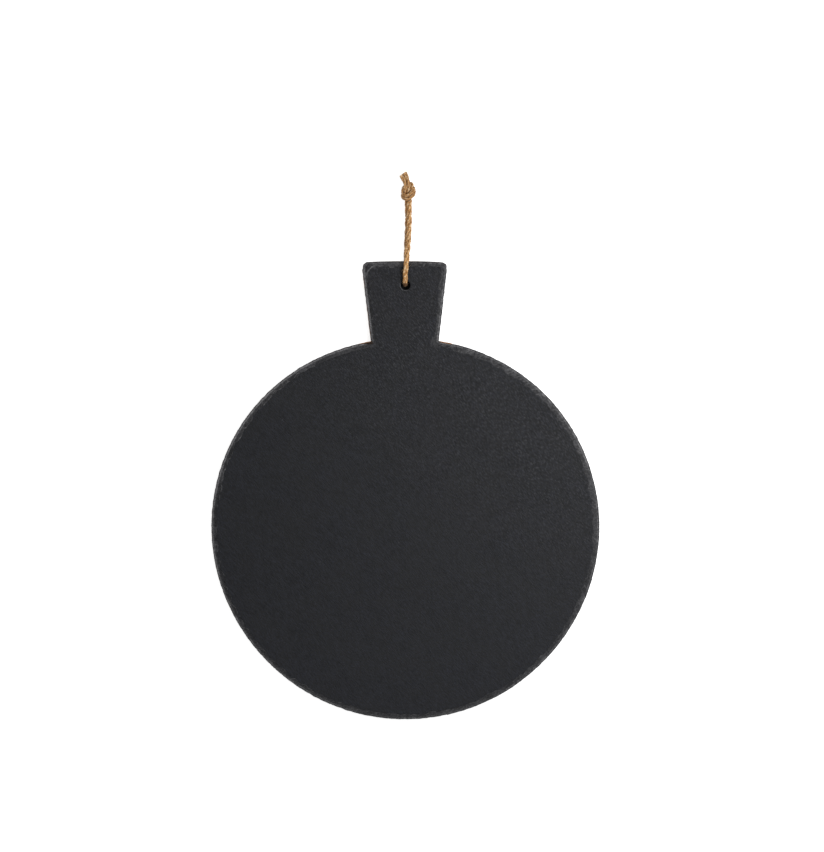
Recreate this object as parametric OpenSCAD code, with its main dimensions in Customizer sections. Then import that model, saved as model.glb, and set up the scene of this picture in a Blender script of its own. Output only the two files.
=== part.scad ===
/* [Slate] */
// Width of the round blade, across the handle's axis
blade_w = 300; // [240:1:360]
// Length of the round blade along the handle's axis, a little less than its width
blade_l = 295.5; // [236:0.5:356]
// Thickness of the slate
slate_t = 6; // [5:0.5:9]

/* [Handle] */
// Length of the handle, from the corners of its neck to its top
handle_l = 61.25; // [50:0.25:120]
// Width of the neck, where the handle meets the blade
neck_w = 52; // [42:0.5:60]
// Width of the handle at its top, before its corners are rounded
handle_top_w = 66.5; // [56:0.5:90]
// Radius of the handle's two top corners
handle_corner_r = 4; // [3:0.5:8]
// How far the middle of the top edge bows up above its ends
handle_bow = 0.6; // [0:0.1:2]
// How far the hand-cut handle lies right of the blade's axis
handle_shift = -0.9; // [-3:0.1:3]

/* [Chipped edge] */
// Least width of the chipped band on the upper face
band_w = 2.8; // [2:0.1:5]
// How much further the middle of the largest flake reaches in
flake_reach = 2.2; // [0.5:0.1:3]
// Length of one flake along the edge
flake_l = 16; // [10:1:30]
// Depth of the chipped band below the upper face, at the rim
band_h = 3.2; // [2:0.1:4]
// Width of the broken arris on the lower face
arris_w = 1; // [0.5:0.1:2]
// Height of the broken arris above the lower face
arris_h = 0.8; // [0.4:0.1:0.9]

/* [Hanging hole] */
// Diameter of the drilled hole
hole_d = 7.5; // [7:0.5:10]
// Distance of the hole's centre from the top of the handle
hole_inset = 18; // [14:0.5:24]
// How far the hole lies right of the blade's axis
hole_shift = -0.3; // [-3:0.1:3]
// Width of the chipped flare round each mouth of the hole
flare_w = 0.4; // [0.3:0.1:1.2]
// Depth of that flare
flare_h = 0.5; // [0.3:0.1:1.2]

/* [Feet] */
// Diameter of a rubber foot where it is stuck to the slate
foot_d = 12; // [9:0.5:20]
// Diameter of the flat tip that it stands on
foot_tip_d = 7; // [4:0.5:9]
// Height of a foot
foot_h = 6; // [6:0.5:8]
// Height of the straight skirt of a foot, next to the slate
foot_skirt_h = 1; // [0.5:0.1:2]
// Distance of a foot's centre from the rim of the blade
foot_inset = 33; // [15:1:60]

/* [Twine] */
// Diameter of the jute twine
twine_d = 3.6; // [2.8:0.1:3.6]

/* [Hidden] */
// Steps round a true circle
circle_steps = 64;
// Overrun of a cut past the face that it opens
overrun = 1;
// Spacing of the points round the slate's outline
outline_gap = 3.2;
// Steps round each rounded corner of the handle, and round a foot's lower edge
corner_steps = 4;

// Heights of the slate's lower and upper faces
lower_z = foot_h;
upper_z = foot_h + slate_t;
// The neck's height above the blade's centre, and the length of the whole board
neck_rise = blade_l / 2 * sqrt(1 - pow(neck_w / blade_w, 2));
board_l = blade_l / 2 + neck_rise + handle_l;
// The board lies centred on the origin, and its handle points along Y
top_y = board_l / 2;
blade_y = blade_l / 2 - board_l / 2;
hole_y = top_y - hole_inset;

// Sideways lean of the handle's sides, as an angle
lean = atan((handle_top_w - neck_w) / 2 / handle_l);
// Height of the centres of the handle's rounded corners
corner_y = top_y - handle_bow - handle_corner_r;
// Half the distance between those centres
corner_x = neck_w / 2 + (corner_y - (blade_y + neck_rise)) * tan(lean) - handle_corner_r / cos(lean);
// Room for flakes along the blade's rim, and the part of the room that they may take at a corner
rim_room = blade_w / 8;
corner_room_share = 0.8;
// How far the hand-cut rim stands out of a true oval, all round it from the right and anticlockwise
rim_wander_shares = [
    -0.0010, 0.0004, 0.0020, 0.0023, 0.0008, -0.0012, -0.0008, -0.0002, 0.0020, 0.0042, 0.0044, 0.0031,
    0.0016, 0.0001, -0.0012, -0.0015, -0.0011, -0.0007, -0.0011, -0.0014, -0.0023, -0.0032, -0.0032, -0.0022];
// Part of the way in, and of the way up, where a flake's steep face turns into its shallow one
step_in_share = 0.4;
step_up_share = 0.62;
// Least depth of a flake as a part of the largest, and the turn from each flake to the next
small_flake_share = 0.35;
flake_turn = 137.5;
// Direction of the feet from the blade's centre, from its cross axis
foot_angle = 45;

// Angle round the blade at which its rim is at x
function rim_angle(x) = acos(2 * x / blade_w);

// How far the rim stands out of the oval at an angle round the blade
function rim_wander(a) =
    let (count = len(rim_wander_shares))
    blade_w * lookup(a % 360, [for (i = [0:count]) [360 / count * i, rim_wander_shares[i % count]]]);

// Place along Y of the blade's rim above its centre, at a distance x from its axis
function rim_y(x) = blade_y + blade_l / 2 * sqrt(1 - pow(2 * x / blade_w, 2)) + rim_wander(rim_angle(x));

// A station of the outline: its place, the way out of the slate there, and the room for flakes
function blade_station(a) =
    let (out = unit([cos(a) / blade_w, sin(a) / blade_l]))
    [[blade_w / 2 * cos(a), blade_y + blade_l / 2 * sin(a)] + rim_wander(a) * out, out, rim_room];

// Stations along the rim from one angle to another, without the last
function rim(from, to) =
    let (steps = ceil((to - from) / 360 * PI * blade_w / outline_gap))
    [for (i = [0:steps - 1]) blade_station(from + (to - from) * i / steps)];

// Stations along a side of the handle, side is 1 on the right and -1 on the left, in the order upwards
function side_stations(side) =
    let (neck = [handle_shift + side * neck_w / 2, rim_y(handle_shift + side * neck_w / 2)],
         end = [handle_shift + side * (corner_x + handle_corner_r * cos(lean)),
                corner_y - handle_corner_r * sin(lean)],
         steps = ceil(norm(end - neck) / outline_gap))
    [for (i = [1:steps - 1])
        [neck + (end - neck) * i / steps,
         [side * cos(lean), -sin(lean)],
         corner_room_share * (handle_corner_r + norm(end - neck) * (1 - i / steps))]];

// Stations round a top corner of the handle, from its side to the top edge
function corner_stations(side) =
    [for (i = [0:corner_steps])
        let (a = -lean + (90 + lean) * i / corner_steps, out = [side * cos(a), sin(a)])
        [[handle_shift + side * corner_x, corner_y] + handle_corner_r * out,
         out,
         corner_room_share * handle_corner_r]];

// Stations along the bowed top edge, from the right corner to the left one
function top_stations() =
    let (steps = 2 * ceil(corner_x / outline_gap))
    [for (i = [1:steps - 1])
        let (x = 1 - 2 * i / steps)
        [[handle_shift + corner_x * x, top_y - handle_bow * x * x],
         [0, 1],
         corner_room_share * (handle_corner_r + corner_x * (1 - abs(x)))]];

// The sharp inner corner of the neck, where flakes spread to both sides
function neck_station(side) =
    let (x = handle_shift + side * neck_w / 2, out = unit([side * cos(lean), -sin(lean)] + [0, 1]))
    [[x, rim_y(x)], out, rim_room];

function unit(v) = v / norm(v);
function backwards(list) = [for (i = [len(list) - 1:-1:0]) list[i]];
function without_first(list) = [for (i = [1:len(list) - 1]) list[i]];

// The whole outline, anticlockwise seen from above
outline = concat(
    [neck_station(-1)],
    without_first(rim(rim_angle(handle_shift - neck_w / 2), 180)),
    rim(180, 360),
    rim(360, 360 + rim_angle(handle_shift + neck_w / 2)),
    [neck_station(1)],
    side_stations(1),
    corner_stations(1),
    top_stations(),
    backwards(corner_stations(-1)),
    backwards(side_stations(-1)));

// Along the outline one flake follows another: how deep station i lies in its flake, from 0 to 1
function flake_depth(i) =
    let (along = i * outline_gap / flake_l, n = floor(along), x = 2 * (along - n) - 1)
    (small_flake_share + (1 - small_flake_share) * abs(sin(n * flake_turn))) * (1 - x * x);

// One ring of the slate: the outline drawn in by a list of widths, at a height
function slate_ring(widths, z) =
    [for (i = [0:len(outline) - 1])
        let (s = outline[i], p = s[0] - min(widths[i], s[2]) * s[1]) [p[0], p[1], z]];

// Way in from the rim to the upper end of each flake
upper_widths = [for (i = [0:len(outline) - 1]) band_w + flake_reach * flake_depth(i)];
no_widths = [for (s = outline) 0];
arris_widths = [for (i = [0:len(outline) - 1]) arris_w * (1 - flake_depth(i) / 2)];

// Centreline of the twine, from the middle of the hole up and over the handle to the knot
FRONT_ROUTE = [
    [-0.6, 160.0, 8.9], [-0.6, 160.9, 12.4], [-0.5, 163.4, 14.9], [-0.4, 166.8, 15.9],
    [-0.1, 170.6, 15.7], [0.3, 174.4, 15.2], [0.7, 178.2, 14.7], [1.0, 181.8, 14.3],
    [1.4, 185.2, 13.6], [1.8, 188.8, 12.0], [2.1, 192.6, 9.7], [2.4, 196.8, 7.3],
    [2.6, 201.6, 5.8], [2.8, 207.2, 5.4], [2.8, 213.2, 5.8], [2.8, 219.4, 6.5]];
// And from there down and back under the handle to the knot
BACK_ROUTE = [
    [-0.6, 160.9, 5.4], [-0.5, 163.4, 2.9], [-0.4, 166.8, 1.9], [-0.1, 172.0, 1.9],
    [0.2, 178.0, 1.9], [0.4, 184.2, 1.9], [0.6, 190.6, 1.9], [0.8, 197.0, 1.9],
    [1.1, 203.2, 1.9], [1.3, 209.2, 2.0], [1.3, 214.6, 2.4], [1.2, 219.4, 3.0]];
// Middle of the overhand knot
KNOT_MIDDLE = [2.0, 232.0, 5.5];
// The two strands run through the knot side by side: the middle of the pair, from KNOT_MIDDLE
KNOT_ROUTE = [
    [0.0, -8.0, -0.1], [0.3, -5.2, -0.5], [0.9, -2.6, -0.8], [1.5, 0.2, -0.8], [2.3, 2.8, -0.7],
    [2.3, 4.9, -1.4], [0.5, 5.2, -3.1], [-1.9, 3.6, -3.5], [-3.6, 1.3, -2.2], [-4.2, -1.3, -0.2],
    [-3.4, -3.7, 1.9], [-0.9, -4.4, 3.5], [1.7, -3.0, 3.8], [3.7, -0.6, 2.5], [4.2, 1.4, 0.0],
    [3.0, 1.8, -2.9], [0.6, 0.9, -4.2], [-1.6, 0.0, -3.1], [-1.8, -0.6, -0.5], [-1.4, 0.6, 1.8],
    [-1.1, 3.1, 2.5], [-1.1, 5.9, 1.8], [-1.7, 8.6, 1.2], [-2.8, 11.0, 0.8], [-3.9, 13.1, 0.6]];
// And the first strand's place from the middle of the pair, the second lies opposite
KNOT_PAIR = [
    [0.9, 0.0, 1.5], [0.6, 0.0, 1.1], [0.4, 0.1, 1.1], [0.4, 0.2, 1.1], [0.5, 0.5, 1.0],
    [0.4, 1.0, 0.6], [0.0, 1.2, 0.2], [-0.3, 1.1, 0.0], [-0.4, 1.0, 0.4], [0.1, 0.9, 0.7],
    [0.4, 0.9, 0.6], [0.0, 1.2, 0.2], [-0.5, 1.0, 0.2], [-0.5, 1.0, 0.3], [0.0, 1.2, 0.0],
    [0.0, 1.2, 0.0], [0.0, 1.2, 0.0], [0.0, 1.1, 0.3], [0.5, 0.8, 0.5], [1.0, 0.4, 0.4],
    [1.2, 0.0, 0.0], [1.2, 0.1, 0.0], [1.2, 0.4, 0.0], [1.3, 0.6, 0.0], [1.3, 0.7, 0.0]];
// Thickness of a strand in the knot as a part of the twine's: drawn tight inside, frayed at the end
knot_thick_shares = [
    1.0, 0.78, 0.65, 0.65, 0.65,
    0.65, 0.65, 0.65, 0.65, 0.65,
    0.65, 0.65, 0.65, 0.65, 0.65,
    0.65, 0.65, 0.65, 0.65, 0.65,
    0.65, 0.68, 0.76, 0.83, 0.86];
// Number of the knot's points that come before the free ends
knot_count = 22;
// Sides of the twine's tube
twine_sides = 8;

function strand(side) = [for (i = [0:len(KNOT_ROUTE) - 1]) KNOT_MIDDLE + KNOT_ROUTE[i] + side * KNOT_PAIR[i]];

// The whole twine, from one cut end through the knot, the hole and the knot again to the other
twine_route = concat(backwards(strand(-1)), backwards(BACK_ROUTE), FRONT_ROUTE, strand(1));
twine_thick_shares = concat(
    backwards(knot_thick_shares),
    [for (p = BACK_ROUTE) 1],
    [for (p = FRONT_ROUTE) 1],
    knot_thick_shares);
// Numbers of the twine's points at the hole, at the knot's two entries and at its two free ends
at_hole = len(KNOT_ROUTE) + len(BACK_ROUTE);
at_back_entry = len(KNOT_ROUTE) - 1;
at_front_entry = at_hole + len(FRONT_ROUTE);
at_back_end = len(KNOT_ROUTE) - knot_count;
at_front_end = at_front_entry + knot_count - 1;
last_point = len(twine_route) - 1;

// Directions along a route at each of its points
function directions(route) =
    [for (i = [0:len(route) - 1]) unit(route[min(i + 1, len(route) - 1)] - route[max(i - 1, 0)])];

// Directions square to the route, each carried on from the one before without a twist
function crosswise(along, i, before) =
    i == len(along) ? [] :
    let (side = unit(before - (before * along[i]) * along[i]))
    concat([side], crosswise(along, i + 1, side));

twine_along = directions(twine_route);
twine_side = crosswise(twine_along, 0, [1, 0, 0]);
twine_rings = [for (i = [0:last_point])
    [for (k = [0:twine_sides - 1])
        let (a = 360 * k / twine_sides)
        twine_route[i] + twine_d / 2 * twine_thick_shares[i]
            * (cos(a) * twine_side[i] + sin(a) * cross(twine_along[i], twine_side[i]))]];

// Lengths of the whole twine and of its two strands between the hole and the knot
function twine_length(from, to) =
    let (steps = [for (i = [from:to - 1]) norm(twine_route[i + 1] - twine_route[i])])
    steps * [for (step = steps) 1];
echo(whole_twine = twine_length(0, last_point));
echo(front_strand = twine_length(at_hole, at_front_entry));
echo(back_strand = twine_length(at_back_entry, at_hole));

// A closed skin over rings of points that follow each other, anticlockwise seen from the last
module skin(rings) {
    n = len(rings[0]);
    last = len(rings) - 1;
    polyhedron(
        points = [for (ring = rings) for (p = ring) p],
        faces = concat(
            [[for (k = [0:n - 1]) k]],
            [for (i = [0:last - 1]) for (k = [0:n - 1])
                [i * n + k, (i + 1) * n + k, (i + 1) * n + (k + 1) % n]],
            [for (i = [0:last - 1]) for (k = [0:n - 1])
                [i * n + k, (i + 1) * n + (k + 1) % n, i * n + (k + 1) % n]],
            [[for (k = [n - 1:-1:0]) last * n + k]]));
}

// The drilled hole with a flared mouth on each face, as the solid that is cut away
module hanging_hole() {
    mouth_r = hole_d / 2 + flare_w * (flare_h + overrun) / flare_h;
    translate([hole_shift, hole_y, 0])
        rotate_extrude($fn = circle_steps)
            polygon([
                [0, lower_z - overrun], [mouth_r, lower_z - overrun], [hole_d / 2, lower_z + flare_h],
                [hole_d / 2, upper_z - flare_h], [mouth_r, upper_z + overrun], [0, upper_z + overrun]]);
}

module slate_board() {
    color([0.18, 0.18, 0.19])
        difference() {
            skin([
                slate_ring(arris_widths, lower_z),
                slate_ring(no_widths, lower_z + arris_h),
                slate_ring(no_widths, upper_z - band_h),
                slate_ring(upper_widths * step_in_share, upper_z - band_h * (1 - step_up_share)),
                slate_ring(upper_widths, upper_z)]);
            hanging_hole();
        }
}

// A domed rubber foot under the blade, towards the given corner
module rubber_foot(side_x, side_y) {
    round_w = (foot_d - foot_tip_d) / 2;
    color([0.1, 0.1, 0.1])
        translate([
            side_x * (blade_w / 2 - foot_inset) * cos(foot_angle),
            blade_y + side_y * (blade_l / 2 - foot_inset) * sin(foot_angle),
            0])
            rotate_extrude($fn = circle_steps)
                polygon(concat(
                    [[0, foot_h], [0, 0]],
                    [for (i = [0:corner_steps])
                        let (a = 90 * i / corner_steps)
                        [foot_tip_d / 2 + round_w * sin(a), (foot_h - foot_skirt_h) * (1 - cos(a))]],
                    [[foot_d / 2, foot_h]]));
}

module foot_upper_left() {
    rubber_foot(-1, 1);
}

module foot_upper_right() {
    rubber_foot(1, 1);
}

module foot_lower_left() {
    rubber_foot(-1, -1);
}

module foot_lower_right() {
    rubber_foot(1, -1);
}

// A stretch of the twine between two of its points
module twine(from, to) {
    color([0.72, 0.55, 0.36])
        skin([for (i = [from:to]) twine_rings[i]]);
}

module cord_front() {
    twine(at_hole, at_front_entry);
}

module cord_back() {
    twine(at_back_entry, at_hole);
}

module cord_knot() {
    twine(at_back_end, at_back_entry);
    twine(at_front_entry, at_front_end);
}

module cord_ends() {
    twine(0, at_back_end);
    twine(at_front_end, last_point);
}

slate_board();
foot_upper_left();
foot_upper_right();
foot_lower_left();
foot_lower_right();
cord_front();
cord_back();
cord_knot();
cord_ends();
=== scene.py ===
"""A round slate serving board with a flared handle and a knotted jute loop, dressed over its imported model.

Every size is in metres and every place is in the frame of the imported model: the board lies flat, its
handle points along +Y and +Z is up out of the serving face.
"""
import logging
import math
import random
from bisect import bisect_left
from dataclasses import dataclass, field
from enum import Enum
from itertools import accumulate, pairwise

import bmesh
import bpy
from mathutils import Matrix, Vector, kdtree, noise


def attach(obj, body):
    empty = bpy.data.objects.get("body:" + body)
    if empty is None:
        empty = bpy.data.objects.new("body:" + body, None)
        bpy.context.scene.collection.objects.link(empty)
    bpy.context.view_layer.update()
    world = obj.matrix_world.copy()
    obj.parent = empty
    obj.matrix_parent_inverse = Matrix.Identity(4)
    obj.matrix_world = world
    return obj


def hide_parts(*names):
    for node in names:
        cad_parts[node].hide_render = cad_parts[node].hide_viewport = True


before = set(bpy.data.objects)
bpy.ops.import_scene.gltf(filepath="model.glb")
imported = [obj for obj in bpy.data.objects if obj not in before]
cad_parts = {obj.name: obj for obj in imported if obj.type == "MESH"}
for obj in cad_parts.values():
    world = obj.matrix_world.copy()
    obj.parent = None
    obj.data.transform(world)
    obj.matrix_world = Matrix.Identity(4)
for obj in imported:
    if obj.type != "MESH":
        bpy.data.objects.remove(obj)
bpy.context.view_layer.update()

log = logging.getLogger("slate_board")

MM = 0.001
UP = Vector((0, 0, 1))

# Centreline of the twine, from the middle of the hole up and over the handle to the knot
FRONT_ROUTE = (
    (-0.0006, 0.1600, 0.0089), (-0.0006, 0.1609, 0.0124), (-0.0005, 0.1634, 0.0149),
    (-0.0004, 0.1668, 0.0159), (-0.0001, 0.1706, 0.0157), (0.0003, 0.1744, 0.0152),
    (0.0007, 0.1782, 0.0147), (0.0010, 0.1818, 0.0143), (0.0014, 0.1852, 0.0136),
    (0.0018, 0.1888, 0.0120), (0.0021, 0.1926, 0.0097), (0.0024, 0.1968, 0.0073),
    (0.0026, 0.2016, 0.0058), (0.0028, 0.2072, 0.0054), (0.0028, 0.2132, 0.0058),
    (0.0028, 0.2194, 0.0065),
)
# And from there down and back under the handle to the knot
BACK_ROUTE = (
    (-0.0006, 0.1609, 0.0054), (-0.0005, 0.1634, 0.0029), (-0.0004, 0.1668, 0.0019),
    (-0.0001, 0.1720, 0.0019), (0.0002, 0.1780, 0.0019), (0.0004, 0.1842, 0.0019),
    (0.0006, 0.1906, 0.0019), (0.0008, 0.1970, 0.0019), (0.0011, 0.2032, 0.0019),
    (0.0013, 0.2092, 0.0020), (0.0013, 0.2146, 0.0024), (0.0012, 0.2194, 0.0030),
)
KNOT_MIDDLE = Vector((0.0020, 0.2320, 0.0055))
# The two strands run through the knot side by side: the middle of the pair, from KNOT_MIDDLE
KNOT_ROUTE = (
    (0.0000, -0.0080, -0.0001), (0.0003, -0.0052, -0.0005), (0.0009, -0.0026, -0.0008),
    (0.0015, 0.0002, -0.0008), (0.0023, 0.0028, -0.0007), (0.0023, 0.0049, -0.0014),
    (0.0005, 0.0052, -0.0031), (-0.0019, 0.0036, -0.0035), (-0.0036, 0.0013, -0.0022),
    (-0.0042, -0.0013, -0.0002), (-0.0034, -0.0037, 0.0019), (-0.0009, -0.0044, 0.0035),
    (0.0017, -0.0030, 0.0038), (0.0037, -0.0006, 0.0025), (0.0042, 0.0014, 0.0000),
    (0.0030, 0.0018, -0.0029), (0.0006, 0.0009, -0.0042), (-0.0016, 0.0000, -0.0031),
    (-0.0018, -0.0006, -0.0005), (-0.0014, 0.0006, 0.0018), (-0.0011, 0.0031, 0.0025),
    (-0.0011, 0.0059, 0.0018), (-0.0017, 0.0086, 0.0012), (-0.0028, 0.0110, 0.0008),
    (-0.0039, 0.0131, 0.0006),
)
# And the first strand's place from the middle of the pair, the second lies opposite
KNOT_PAIR = (
    (0.0009, 0.0000, 0.0015), (0.0006, 0.0000, 0.0011), (0.0004, 0.0001, 0.0011),
    (0.0004, 0.0002, 0.0011), (0.0005, 0.0005, 0.0010), (0.0004, 0.0010, 0.0006),
    (0.0000, 0.0012, 0.0002), (-0.0003, 0.0011, 0.0000), (-0.0004, 0.0010, 0.0004),
    (0.0001, 0.0009, 0.0007), (0.0004, 0.0009, 0.0006), (0.0000, 0.0012, 0.0002),
    (-0.0005, 0.0010, 0.0002), (-0.0005, 0.0010, 0.0003), (0.0000, 0.0012, 0.0000),
    (0.0000, 0.0012, 0.0000), (0.0000, 0.0012, 0.0000), (0.0000, 0.0011, 0.0003),
    (0.0005, 0.0008, 0.0005), (0.0010, 0.0004, 0.0004), (0.0012, 0.0000, 0.0000),
    (0.0012, 0.0001, 0.0000), (0.0012, 0.0004, 0.0000), (0.0013, 0.0006, 0.0000),
    (0.0013, 0.0007, 0.0000),
)
# Thickness of a strand in the knot as a part of the twine's: drawn tight inside, frayed at the end, and
# a little plumper than the plain solids', because pressed twine fills its gaps
KNOT_SHARES = (1.0, 0.85) + 19 * (0.78,) + (0.78, 0.85, 0.95, 1.0)
# Number of the knot's points that come before the free ends
KNOT_COUNT = 22
# What each point of the slate notes for its finish
SLATE_MARKS = ("scar", "shade", "bruise_and_highlight", "stain", "painted_slate_shade")
# How far the hand-cut rim stands out of a true oval, every 15 degrees from the right and anticlockwise
RIM_WANDER = tuple(0.3 * MM * share for share in (
    -1.0, 0.4, 2.0, 2.3, 0.8, -1.2, -0.8, -0.2, 2.0, 4.2, 4.4, 3.1,
    1.6, 0.1, -1.2, -1.5, -1.1, -0.7, -1.1, -1.4, -2.3, -3.2, -3.2, -2.2))


def linear(colour: str) -> tuple[float, float, float, float]:
    """Turn a colour of the screen into the linear values that a shader reads.

    Args:
        colour: six hex digits after a #, as in "#2d2d30".

    Returns:
        Linear red, green and blue, and an alpha of 1.
    """
    parts = [int(colour[i:i + 2], 16) / 255 for i in (1, 3, 5)]
    red, green, blue = [c / 12.92 if c <= 0.04045 else ((c + 0.055) / 1.055) ** 2.4 for c in parts]
    return red, green, blue, 1.0


def smooth(x: float, low: float, high: float) -> float:
    """Rise smoothly from 0 at low to 1 at high.

    Args:
        x: where the rise is read.
        low: the place up to which it is 0.
        high: the place from which it is 1; a high below low gives a fall.

    Returns:
        The height of the rise, from 0 to 1.
    """
    t = min(max((x - low) / (high - low), 0.0), 1.0)
    return t * t * (3 - 2 * t)


class Node(Enum):
    """The kinds of node that the finishes and the world are made of."""

    SURFACE_OUT = "ShaderNodeOutputMaterial"
    WORLD_OUT = "ShaderNodeOutputWorld"
    PRINCIPLED = "ShaderNodeBsdfPrincipled"
    DIFFUSE = "ShaderNodeBsdfDiffuse"
    GLOW = "ShaderNodeEmission"
    SKY = "ShaderNodeBackground"
    ADDED = "ShaderNodeAddShader"
    BUMP = "ShaderNodeBump"
    PLACE = "ShaderNodeTexCoord"
    MARK = "ShaderNodeAttribute"
    RAYS = "ShaderNodeLightPath"
    NOISE = "ShaderNodeTexNoise"
    CELLS = "ShaderNodeTexVoronoi"
    TURN = "ShaderNodeVectorRotate"
    VECTOR = "ShaderNodeVectorMath"
    MATH = "ShaderNodeMath"
    RANGE = "ShaderNodeMapRange"
    MIX = "ShaderNodeMix"


def add_node(tree: bpy.types.NodeTree, kind: Node, inputs: dict | None = None, **settings) -> bpy.types.Node:
    """Add one node to a material or a world, with its settings and its links.

    Args:
        tree: the node tree that it goes into.
        kind: what kind of node it is.
        inputs: socket names or numbers, each with a plain value, the socket that feeds it or the node
            whose first socket in use feeds it.
        **settings: the node's own settings.

    Returns:
        The new node.
    """
    node = tree.nodes.new(kind.value)
    for name, value in settings.items():
        setattr(node, name, value)
    for name, value in (inputs or {}).items():
        if isinstance(value, bpy.types.Node):
            value = next(socket for socket in value.outputs if socket.enabled)
        if isinstance(value, bpy.types.NodeSocket):
            tree.links.new(value, node.inputs[name])
        else:
            node.inputs[name].default_value = value
    return node


@dataclass(frozen=True)
class Finish:
    """A surface finish: what every finish shares."""

    name: str

    def shader(self, tree: bpy.types.NodeTree) -> bpy.types.Node:
        """Build the finish in a node tree and give the surface's node."""
        raise NotImplementedError

    def material(self) -> bpy.types.Material:
        """Make the finish's material.

        Returns:
            A new material whose surface is this finish.
        """
        made = bpy.data.materials.new(self.name)
        made.use_nodes = True
        tree = made.node_tree
        tree.nodes.clear()
        add_node(tree, Node.SURFACE_OUT, {"Surface": self.shader(tree)})
        return made

    @staticmethod
    def pile(tree: bpy.types.NodeTree, *layers: tuple[object, float]) -> object:
        """Add patterns up into one value.

        Args:
            tree: the node tree.
            *layers: each pattern with its weight.

        Returns:
            The sum, to be fed to another node.
        """
        total = 0.0
        for pattern, weight in layers:
            total = add_node(tree, Node.MATH, {0: pattern, 1: weight, 2: total}, operation="MULTIPLY_ADD")
        return total

    @staticmethod
    def glaze(tree: bpy.types.NodeTree, colour: object, *coats: tuple[object, object]) -> object:
        """Lay coats of colour over a ground one after another.

        Args:
            tree: the node tree.
            colour: the ground, as hex digits or what feeds it.
            *coats: how much of the coat shows, from 0 to 1, and its colour, given in the same way.

        Returns:
            The last coat's node.
        """
        for share, coat in coats:
            under, over = (linear(c) if isinstance(c, str) else c for c in (colour, coat))
            colour = add_node(tree, Node.MIX, {0: share, 6: under, 7: over}, data_type="RGBA")
        return colour


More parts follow.
